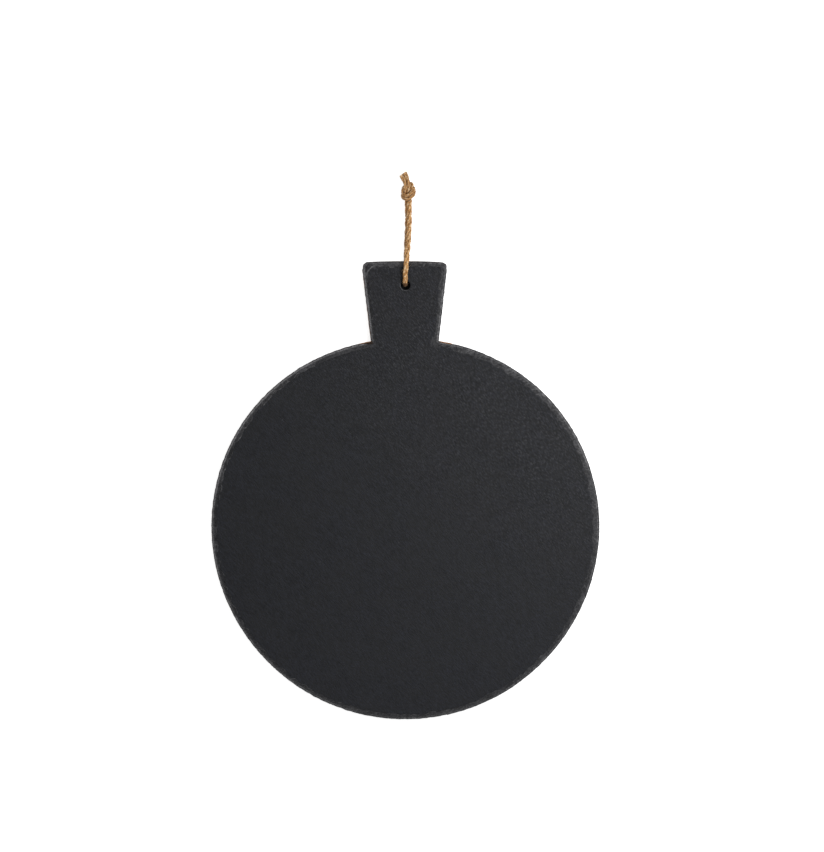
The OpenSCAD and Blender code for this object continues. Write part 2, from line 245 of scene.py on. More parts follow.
@dataclass(frozen=True)
class RivenSlate(Finish):
    """Riven grey slate: split along its cleavage and left as it parted.

    The eye sees an almost even blue-grey with a fine slanting grain, livelier towards the handle, and faint
    warmer and cooler patches. Where the edge is chipped, the broken stone is a little paler and crumbly,
    with bruised, chalky lines that are partly painted highlight. Painted shade darkens the hole's wall,
    slanting gashes over the chipped band and a lip along its inner edge.
    """

    name: str = "riven_slate"
    deep: str = "#0d0f14"
    light: str = "#292b33"
    warm: str = "#1e1e1e"
    fleck: str = "#4b4b4f"
    pit: str = "#060607"
    broken: str = "#525255"
    dull: str = "#29292b"
    crumb: str = "#19191b"
    bruise_and_highlight: str = "#8c8b8d"
    brown: str = "#24160a"
    rust: str = "#9a6528"
    # Painted shade: the colour of the hole's wall, of the gashes over the chipped band and of its inner lip
    painted_slate_shade: str = "#080707"
    grain_angle: float = math.radians(50)
    # Real slate has a finer grain and grit than these, but they would vanish between the picture's pixels
    grain_l: float = 3.0 * MM
    grain_w: float = 0.65 * MM
    dash_w: float = 0.52 * MM
    grit: float = 0.85 * MM
    tint: float = 1.5 * MM
    cloud: float = 7 * MM
    patch: float = 20 * MM
    speck_gap: float = 5 * MM
    crumb_w: float = 1.3 * MM
    layer_h: float = 0.45 * MM
    # How high the grain, the grit, the clouds and broken stone stand
    grain_h: float = 0.25 * MM
    grit_h: float = 0.1 * MM
    cloud_h: float = 0.1 * MM
    break_h: float = 0.3 * MM
    # How lively the grain is by the lower left rim and by the handle's right corner, and the most that
    # its pale flecks and dark pits show there
    lively: tuple[float, float] = (0.8, 1.5)
    flecked: float = 0.5

    def shader(self, tree: bpy.types.NodeTree) -> bpy.types.Node:
        """Build the slate in a node tree.

        Args:
            tree: the material's node tree.

        Returns:
            The node that the surface takes.
        """
        place = add_node(tree, Node.PLACE).outputs["Object"]
        marks = {name: add_node(tree, Node.MARK, attribute_name=name).outputs["Fac"] for name in SLATE_MARKS}
        turned = add_node(tree, Node.TURN, {"Vector": place, "Angle": self.grain_angle},
                          rotation_type="Z_AXIS")
        drawn = add_node(tree, Node.VECTOR, {0: turned, 1: (self.grain_w / self.grain_l, 1.0, 1.0)},
                         operation="MULTIPLY")
        bedded = add_node(tree, Node.VECTOR, {0: place, 1: (0.05, 0.05, 1.0)}, operation="MULTIPLY")
        grain, dashes, grit, tints, clouds, patches, layers, crumbs = (
            add_node(tree, Node.NOISE,
                     {"Vector": where, "Scale": 1 / size, "Detail": detail, "Roughness": rough})
            for where, size, detail, rough in (
                (drawn, self.grain_w, 2.0, 0.6), (drawn, self.dash_w, 1.0, 0.5),
                (place, self.grit, 2.0, 0.75), (place, self.tint, 4.0, 0.8),
                (place, self.cloud, 2.0, 0.5), (place, self.patch, 2.0, 0.5),
                (bedded, self.layer_h, 2.0, 0.6), (place, self.crumb_w, 3.0, 0.7)))
        specks = add_node(tree, Node.CELLS, {"Vector": place, "Scale": 1 / self.speck_gap})

        # A number that rises from the lower left rim to the handle's right corner, and one towards the handle
        across, up = (
            add_node(tree, Node.VECTOR, {0: place, 1: way}, operation="DOT_PRODUCT").outputs["Value"]
            for way in ((0.8, 1.2, 0.0), (0.0, 1.0, 0.0)))
        lively, paler, low_paler, flecked, high, low, cool, near_speck, few, dusty, chalky, rusty, rusted = (
            add_node(tree, Node.RANGE, dict(enumerate((value, *limits))), interpolation_type="SMOOTHSTEP")
            for value, *limits in (
                (across, -0.12, 0.2, *self.lively), (across, -0.06, 0.1, 0.0, -0.022),
                (up, -0.06, -0.14, 0.0, 0.014), (across, -0.08, 0.16, 0.0, self.flecked),
                (dashes, 0.54, 0.7), (dashes, 0.46, 0.3), (patches, 0.35, 0.65, 0.0, 0.18),
                (specks.outputs["Distance"], 0.09, 0.05), (specks.outputs["Color"], 0.86, 0.9, 0.0, 0.6),
                (crumbs, 0.44, 0.6, 0.0, 0.6), (crumbs, 0.4, 0.64, 1.0, 0.35),
                (marks["stain"], 0.6, 0.95), (marks["stain"], 0.0, 0.5)))
        tone = self.pile(tree, (grain, 0.52), (clouds, 0.14), (patches, 0.06), (grit, 0.36), (1.0, -0.54))
        tone = self.pile(tree, (tone, lively), (paler, 1.0), (low_paler, 1.0), (1.0, 0.5))
        shown = add_node(tree, Node.RANGE, {0: tone, 1: 0.38, 2: 0.62}, interpolation_type="SMOOTHSTEP")
        tinted = add_node(tree, Node.RANGE, {0: tints, 1: 0.38, 2: 0.62, 4: 0.72},
                          interpolation_type="SMOOTHSTEP")
        speck, chalk, fleck, pit = (
            add_node(tree, Node.MATH, {0: one, 1: other}, operation="MULTIPLY")
            for one, other in ((near_speck, few), (marks["bruise_and_highlight"], chalky), (high, flecked), (low, flecked)))
        broken = self.glaze(tree, self.broken, (marks["shade"], self.dull), (dusty, self.crumb))
        rust = self.glaze(tree, self.brown, (rusty, self.rust))
        warmth = self.pile(tree, (tinted, 1.0), (cool, 1.0))
        face = self.glaze(tree, self.deep, (shown, self.light), (warmth, self.warm), (fleck, self.fleck),
                          (pit, self.pit), (speck, self.fleck))
        # Last come the bruised lines, partly painted highlight, the rust and the painted shade
        colour = self.glaze(tree, face, (marks["scar"], broken), (chalk, self.bruise_and_highlight), (rusted, rust),
                            (marks["painted_slate_shade"], self.painted_slate_shade))

        crumbly = self.pile(tree, (layers, 1.0), (crumbs, 1.0))
        rough_break = add_node(tree, Node.MATH, {0: marks["scar"], 1: crumbly}, operation="MULTIPLY")
        height = self.pile(tree, (grain, self.grain_h), (grit, self.grit_h), (clouds, self.cloud_h),
                           (rough_break, self.break_h))
        bump = add_node(tree, Node.BUMP, {"Height": height, "Distance": 1.0, "Strength": 0.8})
        roughness = add_node(tree, Node.RANGE, {0: grit, 1: 0.3, 2: 0.7, 3: 0.5, 4: 0.68})
        return add_node(tree, Node.PRINCIPLED, {"Base Color": colour, "Roughness": roughness, "IOR": 1.5,
                                                "Specular IOR Level": 0.2, "Normal": bump})


@dataclass(frozen=True)
class TwistedJute(Finish):
    """Jute twine: coarse tan fibres, spun and laid up from three yarns.

    The eye sees pale golden flecks on the crown of each loose yarn and lengthwise fibres that are lighter
    and darker by turns. The grooves between the yarns are brown with painted shade.
    """

    name: str = "twisted_jute"
    crown: str = "#dda96c"
    pale: str = "#f0d6ae"
    shade: str = "#ab7439"
    # The colour of the painted shade in the grooves, the crevices, the knot and the hole
    painted_jute_shade: str = "#4c2a10"
    sheen: str = "#e8cfa4"
    # Drawn coarser than real fibres, which would vanish between the picture's pixels
    fibre_w: float = 0.55 * MM
    fibre_l: float = 3.2 * MM
    tuft: float = 1.3 * MM
    fibre_h: float = 0.2 * MM
    tuft_h: float = 0.3 * MM

    def shader(self, tree: bpy.types.NodeTree) -> bpy.types.Node:
        """Build the jute in a node tree.

        Args:
            tree: the material's node tree.

        Returns:
            The node that the surface takes.
        """
        along = add_node(tree, Node.MARK, attribute_name="fibre").outputs["Vector"]
        painted_jute_shade = add_node(tree, Node.MARK, attribute_name="painted_jute_shade").outputs["Fac"]
        drawn = add_node(tree, Node.VECTOR, {0: along, 1: (1.0, 1.0, self.fibre_w / self.fibre_l)},
                         operation="MULTIPLY")
        fibres, tufts = (add_node(tree, Node.NOISE, {"Vector": where, "Scale": 1 / size, "Roughness": 0.6})
                         for where, size in ((drawn, self.fibre_w), (along, self.tuft)))
        lit, sunned, gappy = (
            add_node(tree, Node.RANGE, dict(enumerate((value, *limits))), interpolation_type="SMOOTHSTEP")
            for value, *limits in (
                (fibres, 0.38, 0.62), (tufts, 0.5, 0.66, 0.0, 0.8), (tufts, 0.42, 0.3, 0.0, 0.7)))
        # Painted shade, with the tufts' dark flecks laid in with it
        shade_and_flecks = self.pile(tree, (painted_jute_shade, 0.6), (gappy, 1.0))
        deepest = add_node(tree, Node.MATH, {0: shade_and_flecks, 1: 0.92}, operation="MINIMUM")
        colour = self.glaze(tree, self.shade, (lit, self.crown), (sunned, self.pale), (deepest, self.painted_jute_shade))
        height = self.pile(tree, (fibres, self.fibre_h), (tufts, self.tuft_h))
        bump = add_node(tree, Node.BUMP, {"Height": height, "Distance": 1.0, "Strength": 0.9})
        return add_node(tree, Node.PRINCIPLED, {
            "Base Color": colour, "Roughness": 0.85, "Sheen Weight": 0.15, "Sheen Roughness": 0.5,
            "Sheen Tint": linear(self.sheen), "Normal": bump})


@dataclass(frozen=True)
class MouldedRubber(Finish):
    """Black moulded rubber: a dull near-black with the fine tooth of a sparked mould."""

    name: str = "moulded_rubber"
    black: str = "#1b1b1c"
    dust: str = "#343432"
    tooth: float = 0.35 * MM
    dust_patch: float = 4 * MM
    tooth_h: float = 0.04 * MM

    def shader(self, tree: bpy.types.NodeTree) -> bpy.types.Node:
        """Build the rubber in a node tree.

        Args:
            tree: the material's node tree.

        Returns:
            The node that the surface takes.
        """
        place = add_node(tree, Node.PLACE).outputs["Object"]
        tooth, dust = (
            add_node(tree, Node.NOISE, {"Vector": place, "Scale": 1 / size, "Detail": 3.0, "Roughness": 0.6})
            for size in (self.tooth, self.dust_patch))
        dusty, roughness = (add_node(tree, Node.RANGE, dict(enumerate((dust, *limits))))
                            for limits in ((0.45, 0.75, 0.0, 0.4), (0.3, 0.7, 0.6, 0.8)))
        height = self.pile(tree, (tooth, self.tooth_h))
        bump = add_node(tree, Node.BUMP, {"Height": height, "Distance": 1.0, "Strength": 0.7})
        colour = self.glaze(tree, self.black, (dusty, self.dust))
        return add_node(tree, Node.PRINCIPLED,
                        {"Base Color": colour, "Roughness": roughness, "Normal": bump})


@dataclass(frozen=True)
class WhitePaper(Finish):
    """Matt white studio paper, which burns out to plain white round the board and keeps its shadow."""

    name: str = "white_paper"
    colour: str = "#f2f2f2"
    painted_shade_colour: str = "#2c2c2c"
    glow: float = 0.75
    hole: Vector = field(default_factory=lambda: Vector((-0.0003, 0.1593, 0.0)))
    # Under the hole the paper is painted dark as shade out to the first of these distances, and plain
    # from the second
    painted_shade_r: tuple[float, float] = (9 * MM, 16 * MM)

    def shader(self, tree: bpy.types.NodeTree) -> bpy.types.Node:
        """Build the paper in a node tree, with no glow and painted shade where the board's hole shows it.

        Args:
            tree: the material's node tree.

        Returns:
            The node that the surface takes.
        """
        place = add_node(tree, Node.PLACE).outputs["Object"]
        away = add_node(tree, Node.VECTOR, {0: place, 1: self.hole}, operation="DISTANCE").outputs["Value"]
        open_floor = add_node(tree, Node.RANGE, dict(enumerate((away, *self.painted_shade_r))),
                              interpolation_type="SMOOTHSTEP")
        rays = add_node(tree, Node.RAYS).outputs
        mirrored = add_node(tree, Node.MATH, {0: rays["Is Glossy Ray"], 1: rays["Is Transmission Ray"]},
                            operation="MAXIMUM")
        seen = add_node(tree, Node.MATH, {0: rays["Is Camera Ray"], 1: mirrored}, operation="MAXIMUM")
        # Painted shade on the paper under the hole
        tone = self.glaze(tree, self.painted_shade_colour, (open_floor, self.colour))
        paper = add_node(tree, Node.DIFFUSE, {"Color": tone})
        lit = add_node(tree, Node.MATH, {0: seen, 1: open_floor}, operation="MULTIPLY")
        glow = add_node(tree, Node.GLOW, {"Strength": self.pile(tree, (lit, self.glow))})
        return add_node(tree, Node.ADDED, {0: paper, 1: glow})


def piece(bm: bmesh.types.BMesh, name: str, finish: bpy.types.Material,
          sharp: float = 180.0) -> bpy.types.Object:
    """Make an object of the scene from a finished mesh, at the origin.

    Args:
        bm: the mesh in work, which is used up.
        name: the piece's name.
        finish: its material.
        sharp: the angle in degrees past which an edge stays crisp.

    Returns:
        The new object.
    """
    mesh = bpy.data.meshes.new(name)
    for face in bm.faces:
        face.smooth = True
    bm.to_mesh(mesh)
    bm.free()
    mesh.set_sharp_from_angle(angle=math.radians(sharp))
    mesh.materials.append(finish)
    made = bpy.data.objects.new(name, mesh)
    bpy.context.scene.collection.objects.link(made)
    return made


def new_ring(bm: bmesh.types.BMesh, edges: list[bmesh.types.BMEdge]) -> tuple[list, list]:
    """Extrude a ring of edges in place, so that the new ring can be moved.

    Args:
        bm: the mesh in work.
        edges: the ring's edges.

    Returns:
        The new ring's points and edges.
    """
    made = bmesh.ops.extrude_edge_only(bm, edges=edges)["geom"]
    points = [g for g in made if isinstance(g, bmesh.types.BMVert)]
    known = set(points)
    ring = [g for g in made if isinstance(g, bmesh.types.BMEdge) and known.issuperset(g.verts)]
    return points, ring


@dataclass
class Studio:
    """The white paper floor, one soft lamp, an even light all round and the camera straight above."""

    aim: Vector = field(default_factory=lambda: Vector((0.0048, 0.0502, 0.0115)))
    distance: float = 2.6
    seen_l: float = 0.6603
    key_place: Vector = field(default_factory=lambda: Vector((0.33, 0.145, 0.66)))
    key_size: float = 0.38
    key_power: float = 3.5
    sky: float = 0.43
    floor_half: float = 6.0
    floor_drop: float = 0.1 * MM

    def set_up(self) -> None:
        """Place the camera, the lamp, the world's light and the floor."""
        scene = bpy.context.scene
        scene.view_settings.view_transform = "Standard"
        self.place_camera(scene)
        self.place_key(scene)
        self.light_world(scene)
        self.lay_floor()

    def place_camera(self, scene: bpy.types.Scene) -> None:
        """Look straight down from far off, with the handle towards the top of the picture.

        Args:
            scene: the scene that takes the camera.
        """
        data = bpy.data.cameras.new("camera")
        data.sensor_width = 36.0
        data.lens = data.sensor_width * (self.distance - self.aim.z) / self.seen_l
        data.clip_end = 20.0
        camera = bpy.data.objects.new("camera", data)
        camera.location = (self.aim.x, self.aim.y, self.distance)
        scene.collection.objects.link(camera)
        scene.camera = camera

    def place_key(self, scene: bpy.types.Scene) -> None:
        """Hang one soft lamp over the board's upper right.

        Args:
            scene: the scene that takes the lamp.
        """
        data = bpy.data.lights.new("key", "AREA")
        data.shape = "DISK"
        data.size = self.key_size
        data.energy = self.key_power
        lamp = bpy.data.objects.new("key", data)
        lamp.location = self.key_place
        lamp.rotation_euler = (Vector((0, 0, 0)) - self.key_place).to_track_quat("-Z", "Y").to_euler()
        scene.collection.objects.link(lamp)

    def light_world(self, scene: bpy.types.Scene) -> None:
        """Fill the shadows with an even light, and show plain white past the floor.

        Args:
            scene: the scene that takes the world.
        """
        world = bpy.data.worlds.new("studio")
        world.use_nodes = True
        tree = world.node_tree
        tree.nodes.clear()
        seen = add_node(tree, Node.RAYS).outputs["Is Camera Ray"]
        strength = add_node(tree, Node.RANGE, {0: seen, 3: self.sky, 4: 1.0})
        light = add_node(tree, Node.SKY, {"Color": linear("#ffffff"), "Strength": strength})
        add_node(tree, Node.WORLD_OUT, {"Surface": light})
        scene.world = world

    def lay_floor(self) -> None:
        """Lay the paper just below the feet."""
        bm = bmesh.new()
        lower = Matrix.Translation((0, 0, -self.floor_drop))
        bmesh.ops.create_grid(bm, x_segments=4, y_segments=4, size=self.floor_half, matrix=lower)
        piece(bm, "floor", WhitePaper().material())


@dataclass
class TwineLine:
    """The twine's smooth centreline, from one cut end through the knot and the hole to the other."""

    step: float = 0.5 * MM
    # Into how many parts the curve between two points of the route is first divided
    fine_steps: int = 24
    points: list[Vector] = field(default_factory=list)
    shares: list[float] = field(default_factory=list)
    along: list[Vector] = field(default_factory=list)
    side: list[Vector] = field(default_factory=list)
    joints: dict[str, int] = field(default_factory=dict)

    def __post_init__(self) -> None:
        """Lay the line along the routes, and carry its crosswise directions along it."""
        first, second = (self.strand(side) for side in (1, -1))
        back = [Vector(p) for p in reversed(BACK_ROUTE)]
        front = [Vector(p) for p in FRONT_ROUTE]
        route = second[::-1] + back + front + first
        shares = list(KNOT_SHARES[::-1]) + [1.0] * (len(back) + len(front)) + list(KNOT_SHARES)
        hole = len(second) + len(back)
        numbers = {"back_end": len(second) - KNOT_COUNT, "back_entry": len(second) - 1, "hole": hole,
                   "front_entry": hole + len(front), "front_end": hole + len(front) + KNOT_COUNT - 1}
        self.draw_curve(route, shares, numbers)
        self.carry()

    def strand(self, side: int) -> list[Vector]:
        """Place one of the two strands in the knot, 1 for the first and -1 for the second."""
        return [KNOT_MIDDLE + Vector(p) + side * Vector(q) for p, q in zip(KNOT_ROUTE, KNOT_PAIR)]

    def draw_curve(self, route: list[Vector], shares: list[float], numbers: dict[str, int]) -> None:
        """Draw a smooth curve through the route and put even steps on it.

        Args:
            route: the points that the curve passes.
            shares: the thickness at each of them, as a part of the twine's.
            numbers: the numbers of the points at which the pieces meet.
        """
        ends = [2 * route[0] - route[1]] + route + [2 * route[-1] - route[-2]]
        fine, thick = [], []
        parts = self.fine_steps
        for i in range(1, len(ends) - 2):
            a, b, c, d = ends[i - 1:i + 3]
            for k in range(parts):
                t = k / parts
                fine.append(0.5 * (2 * b + (c - a) * t + (2 * a - 5 * b + 4 * c - d) * t * t
                                   + (3 * b - 3 * c + d - a) * t ** 3))
                thick.append(shares[i - 1] + (shares[i] - shares[i - 1]) * smooth(t, 0, 1))
        fine.append(route[-1])
        thick.append(shares[-1])
        run = [0.0, *accumulate((q - p).length for p, q in pairwise(fine))]
        count = round(run[-1] / self.step)
        self.step = run[-1] / count
        for n in range(count + 1):
            i = min(max(bisect_left(run, n * self.step), 1), len(fine) - 1)
            t = (n * self.step - run[i - 1]) / (run[i] - run[i - 1])
            self.points.append(fine[i - 1].lerp(fine[i], t))
            self.shares.append(thick[i - 1] + (thick[i] - thick[i - 1]) * t)
        self.joints = {name: round(run[i * parts] / self.step) for name, i in numbers.items()}
        self.joints.update(start=0, end=count)

    def carry(self) -> None:
        """Find the direction along the line and one square to it, carried on without a twist."""
        last = len(self.points) - 1
        self.along = [(self.points[min(i + 1, last)] - self.points[max(i - 1, 0)]).normalized()
                      for i in range(last + 1)]
        side = Vector((1, 0, 0))
        for direction in self.along:
            side = (side - side.dot(direction) * direction).normalized()
            self.side.append(side)

    def length(self, first: int, last: int) -> float:
        """Measure the line between two of its steps."""
        return sum((q - p).length for p, q in pairwise(self.points[first:last + 1]))


@dataclass
class HangingLoop:
    """The jute loop: two strands through the hole, an overhand knot and two cut ends."""

    diameter: float = 3.6 * MM
    yarns: int = 3
    pitch: float = 24 * MM
    # Where each yarn's middle lies and its radius, as parts of the twine's diameter
    yarn_place: float = 0.22
    yarn_r: float = 0.325
    section_steps: int = 36
    ravel: float = 0.26 * MM
    # How many steps of the line at each end the slanting cut may reach
    cut_steps: int = 12
    hairs_per_m: float = 2200
    end_hairs: int = 30
    hair_r: float = 0.045 * MM
    hair_seed: int = 5
    # Painted shade darkens the twine where it goes down into the hole: within this distance of the hole's
    # middle, and from the first to the second of these places along Y and Z
    hole_shade_r: float = 6 * MM
    hole_shade_y: tuple[float, float] = (163.2 * MM, 159.6 * MM)
    hole_shade_z: tuple[float, float] = (12.5 * MM, 10.5 * MM)
    exit: Vector = field(default_factory=lambda: Vector((-0.0006, 0.1600, 0.0089)))
    # Both ends were cut together with one slanting snip
    cut_place: Vector = field(default_factory=lambda: Vector((-0.0029, 0.2457, 0.0061)))
    cut_facing: Vector = field(default_factory=lambda: Vector((-0.600, 0.800, 0.0)))
    line: TwineLine = field(default_factory=TwineLine)

    def build(self) -> None:
        jute = TwistedJute().material()
        at = self.line.joints
        front = self.stretch("twine_front", jute, [(at["hole"], at["front_entry"])], "cord_front")
        back = self.stretch("twine_back", jute, [(at["back_entry"], at["hole"])], "cord_back")
        knot = self.stretch("twine_knot", jute, [(at["back_end"], at["back_entry"]),
                                                 (at["front_entry"], at["front_end"])], "cord_knot")
        ends = self.stretch("twine_ends", jute, [(at["start"], at["back_end"]),
                                                 (at["front_end"], at["end"])], "cord_ends")
        fuzz = self.fuzz(jute)
        for cord, (first, last), others in ((front, (at["hole"], at["front_entry"]), [knot, ends, fuzz]),
                                            (back, (at["back_entry"], at["hole"]), [])):
            self.line.length(first, last)

    def envelope(self, angle: float) -> tuple[float, float]:
        """Read the outline of the laid-up yarns at an angle round the twine.

        Args:
            angle: the angle from a yarn's crown, in the frame that turns with the yarns.

        Returns:
            The radius as a part of the diameter, and how deep in a groove it is, from 0 to 1.
        """
        turn = 2 * math.pi / self.yarns
        a = (angle + turn / 2) % turn - turn / 2
        off = self.yarn_place * math.sin(a)
        reach = self.yarn_place * math.cos(a) + math.sqrt(self.yarn_r ** 2 - off ** 2)
        crown = self.yarn_place + self.yarn_r
        valley = self.yarn_place / 2 + math.sqrt(self.yarn_r ** 2 - 0.75 * self.yarn_place ** 2)
        return reach, (crown - reach) / (crown - valley)

    def stretch(self, name: str, jute: bpy.types.Material, runs: list[tuple[int, int]],
                node: str) -> bpy.types.Object:
        """Sweep the three laid-up yarns along stretches of the line.

        Args:
            name: the piece's name.
            jute: its material.
            runs: the first and last step of each stretch.
            node: the CAD node that the piece stands for.

        Returns:
            The piece.
        """
        bm = bmesh.new()
        corner = bm.verts.layers.int.new("corner")
        step = bm.verts.layers.int.new("step")
        for first, last in runs:
            ring = bmesh.ops.create_circle(bm, cap_ends=True, segments=self.section_steps,
                                           radius=self.diameter)
            points = ring["verts"]
            edges = list(dict.fromkeys(e for v in points for e in v.link_edges))
            for k, v in enumerate(points):
                v[corner] = k
            for i in range(first, last + 1):
                if i > first:
                    points, edges = new_ring(bm, edges)
                for v in points:
                    v[step] = i
                    v.co = self.skin_point(v[corner], i)
            bmesh.ops.contextual_create(bm, geom=edges)
        bmesh.ops.recalc_face_normals(bm, faces=bm.faces[:])
        self.mark(bm, corner, step)
        made = piece(bm, name, jute, 60.0)
        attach(made, "twine_loop")
        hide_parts(node)
        log.info("%s: %d faces", name, len(made.data.polygons))
        return made

    def skin_point(self, k: int, i: int) -> Vector:
        """Place one point of the twine's skin.

        Args:
            k: its number round the section.
            i: its step along the line.

        Returns:
            The point.
        """
        line = self.line
        angle = 2 * math.pi * k / self.section_steps
        reach, _ = self.envelope(angle)
        turned = angle + 2 * math.pi * (i - line.joints["hole"]) * line.step / self.pitch
        side, along = line.side[i], line.along[i]
        out = math.cos(turned) * side + math.sin(turned) * along.cross(side)
        radius = self.diameter * line.shares[i] * reach
        spot = line.points[i] + radius * out
        radius += self.ravel * (noise.noise(spot * 620) + 0.5 * noise.noise(spot * 1500))
        place = line.points[i] + radius * out
        last = line.joints["end"]
        past = (place - self.cut_place).dot(self.cut_facing)
        if i in (0, last) or (past > 0 and (i < self.cut_steps or i > last - self.cut_steps)):
            place -= along * (past + 0.25 * MM * noise.noise(spot * 1500)) / along.dot(self.cut_facing)
        return place

    def mark(self, bm: bmesh.types.BMesh, corner: bmesh.types.BMLayerItem,
             step: bmesh.types.BMLayerItem) -> None:
        """Write on the mesh how its fibres run and where painted shade lies, most of all in the grooves
        between yarns.

        Args:
            bm: the mesh in work.
            corner: the layer of the points' numbers round the section.
            step: the layer of their steps along the line.
        """
        fibre = bm.verts.layers.float_vector.new("fibre")
        painted_jute_shade = bm.verts.layers.float.new("painted_jute_shade")
        line = self.line
        tree = kdtree.KDTree(len(line.points))
        for i, point in enumerate(line.points):
            tree.insert(point, i)
        tree.balance()
        for v in bm.verts:
            angle = 2 * math.pi * v[corner] / self.section_steps
            run = v[step] * line.step
            turned = angle + 2 * math.pi * run / (2.2 * self.pitch)
            v[fibre] = Vector((math.cos(turned), math.sin(turned), 0)) * self.diameter / 2 + UP * run
            # Painted shade on the twine as it goes down into the hole
            hole_shade = 0.0
            if (v.co - self.exit).length < self.hole_shade_r:
                hole_shade = max(smooth(v.co.y, *self.hole_shade_y), smooth(v.co.z, *self.hole_shade_z))
            thick = self.diameter * line.shares[v[step]]
            # Painted shade darkens a crevice, where the skin comes close to another stretch of the line
            others = [gap for _, i, gap in tree.find_range(v.co, 0.7 * thick)
                      if abs(i - v[step]) > 4 * MM / line.step]
            crevice_shade = smooth(min(others), 0.68 * thick, 0.46 * thick) if others else 0.0
            # In the knot the yarns are pressed flat, and painted shade darkens them all over
            pressed, knot_shade = (0.6, 0.33) if thick < self.diameter else (1.0, 0.0)
            # Painted shade: in the grooves between the yarns, in crevices, down the hole and over the knot
            v[painted_jute_shade] = max(pressed * self.envelope(angle)[1] ** 2, 1.6 * hole_shade, 1.5 * crevice_shade) + knot_shade

    def fuzz(self, jute: bpy.types.Material) -> bpy.types.Object:
        """Raise loose fibres all along the twine, more of them at its cut ends.

        Each is drawn about three times as thick as a jute fibre, or it wouldn't show in the picture.

        Args:
            jute: the twine's material.

        Returns:
            The piece with all the fibres.
        """
        rng = random.Random(self.hair_seed)
        line = self.line
        last = line.joints["end"]
        curve = bpy.data.curves.new("fuzz_lines", "CURVE")
        curve.dimensions = "3D"
        curve.bevel_depth = self.hair_r
        curve.bevel_resolution = 0
        curve.use_fill_caps = True
        count = int(self.hairs_per_m * last * line.step)
        starts = [rng.randrange(2, last - 1) for _ in range(count)]
        starts += [rng.choice((rng.randrange(2, 7), last - rng.randrange(2, 7)))
                   for _ in range(self.end_hairs)]
        for i in starts:
            self.hair(curve, rng, i)
        holder = bpy.data.objects.new("fuzz_lines", curve)
        bpy.context.scene.collection.objects.link(holder)
        flat = holder.evaluated_get(bpy.context.evaluated_depsgraph_get())
        bm = bmesh.new()
        bm.from_mesh(bpy.data.meshes.new_from_object(flat))
        bpy.data.objects.remove(holder)
        fibre = bm.verts.layers.float_vector.new("fibre")
        for v in bm.verts:
            v[fibre] = v.co * 2
        made = piece(bm, "twine_fuzz", jute)
        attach(made, "twine_loop")
        log.info("twine_fuzz: %d faces", len(made.data.polygons))
        return made

    def hair(self, curve: bpy.types.Curve, rng: random.Random, i: int) -> None:
        """Draw one loose fibre that leaves the twine at a step of its line.

        Args:
            curve: the curve that takes it.
            rng: the source of chance.
            i: the step.
        """
        line = self.line
        angle = rng.uniform(0, 2 * math.pi)
        side, along = line.side[i], line.along[i]
        out = math.cos(angle) * side + math.sin(angle) * along.cross(side)
        spot = line.points[i] + 0.42 * self.diameter * line.shares[i] * out
        at_end = i < 8 or i > line.joints["end"] - 8
        onward = along * (1 if i > line.joints["hole"] else -1) if at_end else along * rng.choice((-1, 1))
        length = rng.uniform(0.6, 1.5) * MM if at_end else rng.uniform(1.0, 3.6) * MM * rng.uniform(0.6, 1.0)
        heading = (onward + out * rng.uniform(0.1, 0.75)).normalized()
        points = 5
        spline = curve.splines.new("POLY")
        spline.points.add(points - 1)
        bend = Vector([rng.uniform(-1, 1) for _ in range(3)]) * 0.3
        for n in range(points):
            spline.points[n].co = (*spot, 1.0)
            spline.points[n].radius = 1.0 - 0.6 * n / points
            spot = spot + heading * length / (points - 1)
            spot.z = max(spot.z, 2 * self.hair_r)
            heading = (heading + bend).normalized()


@dataclass(frozen=True)
class EdgeStretch:
    """How one stretch of the slate's rim was chipped by hand, as the photograph shows it.

    First comes its share of the rim's length. Then come lengths in millimetres: the width of the bevelled
    band, the flakes' length along the rim, how far they reach in, and how deep they scoop. Then follow
    shares of the palest that broken slate gets, all over the band, in a line along the rim that is partly
    painted highlight and in the lines round the flakes, then how far the rim stands out in millimetres, and
    last the share for the fine strokes that slant over the band.
    """

    share: float
    band: float
    flake_l: tuple[float, float]
    reach: tuple[float, float]
    scoop: tuple[float, float]
    pale: float
    rim_chalk_and_highlight: float
    flake_line: float
    out: float
    strokes: float = 0.08


@dataclass(frozen=True)
class EdgeLook:
    """How the rim is chipped at one place: as in EdgeStretch, but blended and with lengths in metres."""

    band: float
    pale: float
    rim_chalk_and_highlight: float
    flake_line: float
    out: float
    strokes: float


@dataclass(frozen=True)
class Flake:
    """One scar of a flake that was struck off the rim.

    Its middle is a run along the rim, its slant is how far it leans along the rim on its way in, and its
    shade says how dull its stone is, from 0 to 1.
    """

    middle: float
    half_l: float
    reach: float
    scoop: float
    slant: float
    shade: float


@dataclass(frozen=True)
class ScarView:
    """The scars of one size as they are at one place.

    They are given by the depth and the shade of the deepest, by how far inside them the place is, and by
    how much of a ridge between two of them it is.
    """

    depth: float
    shade: float
    inside: float
    ridge: float


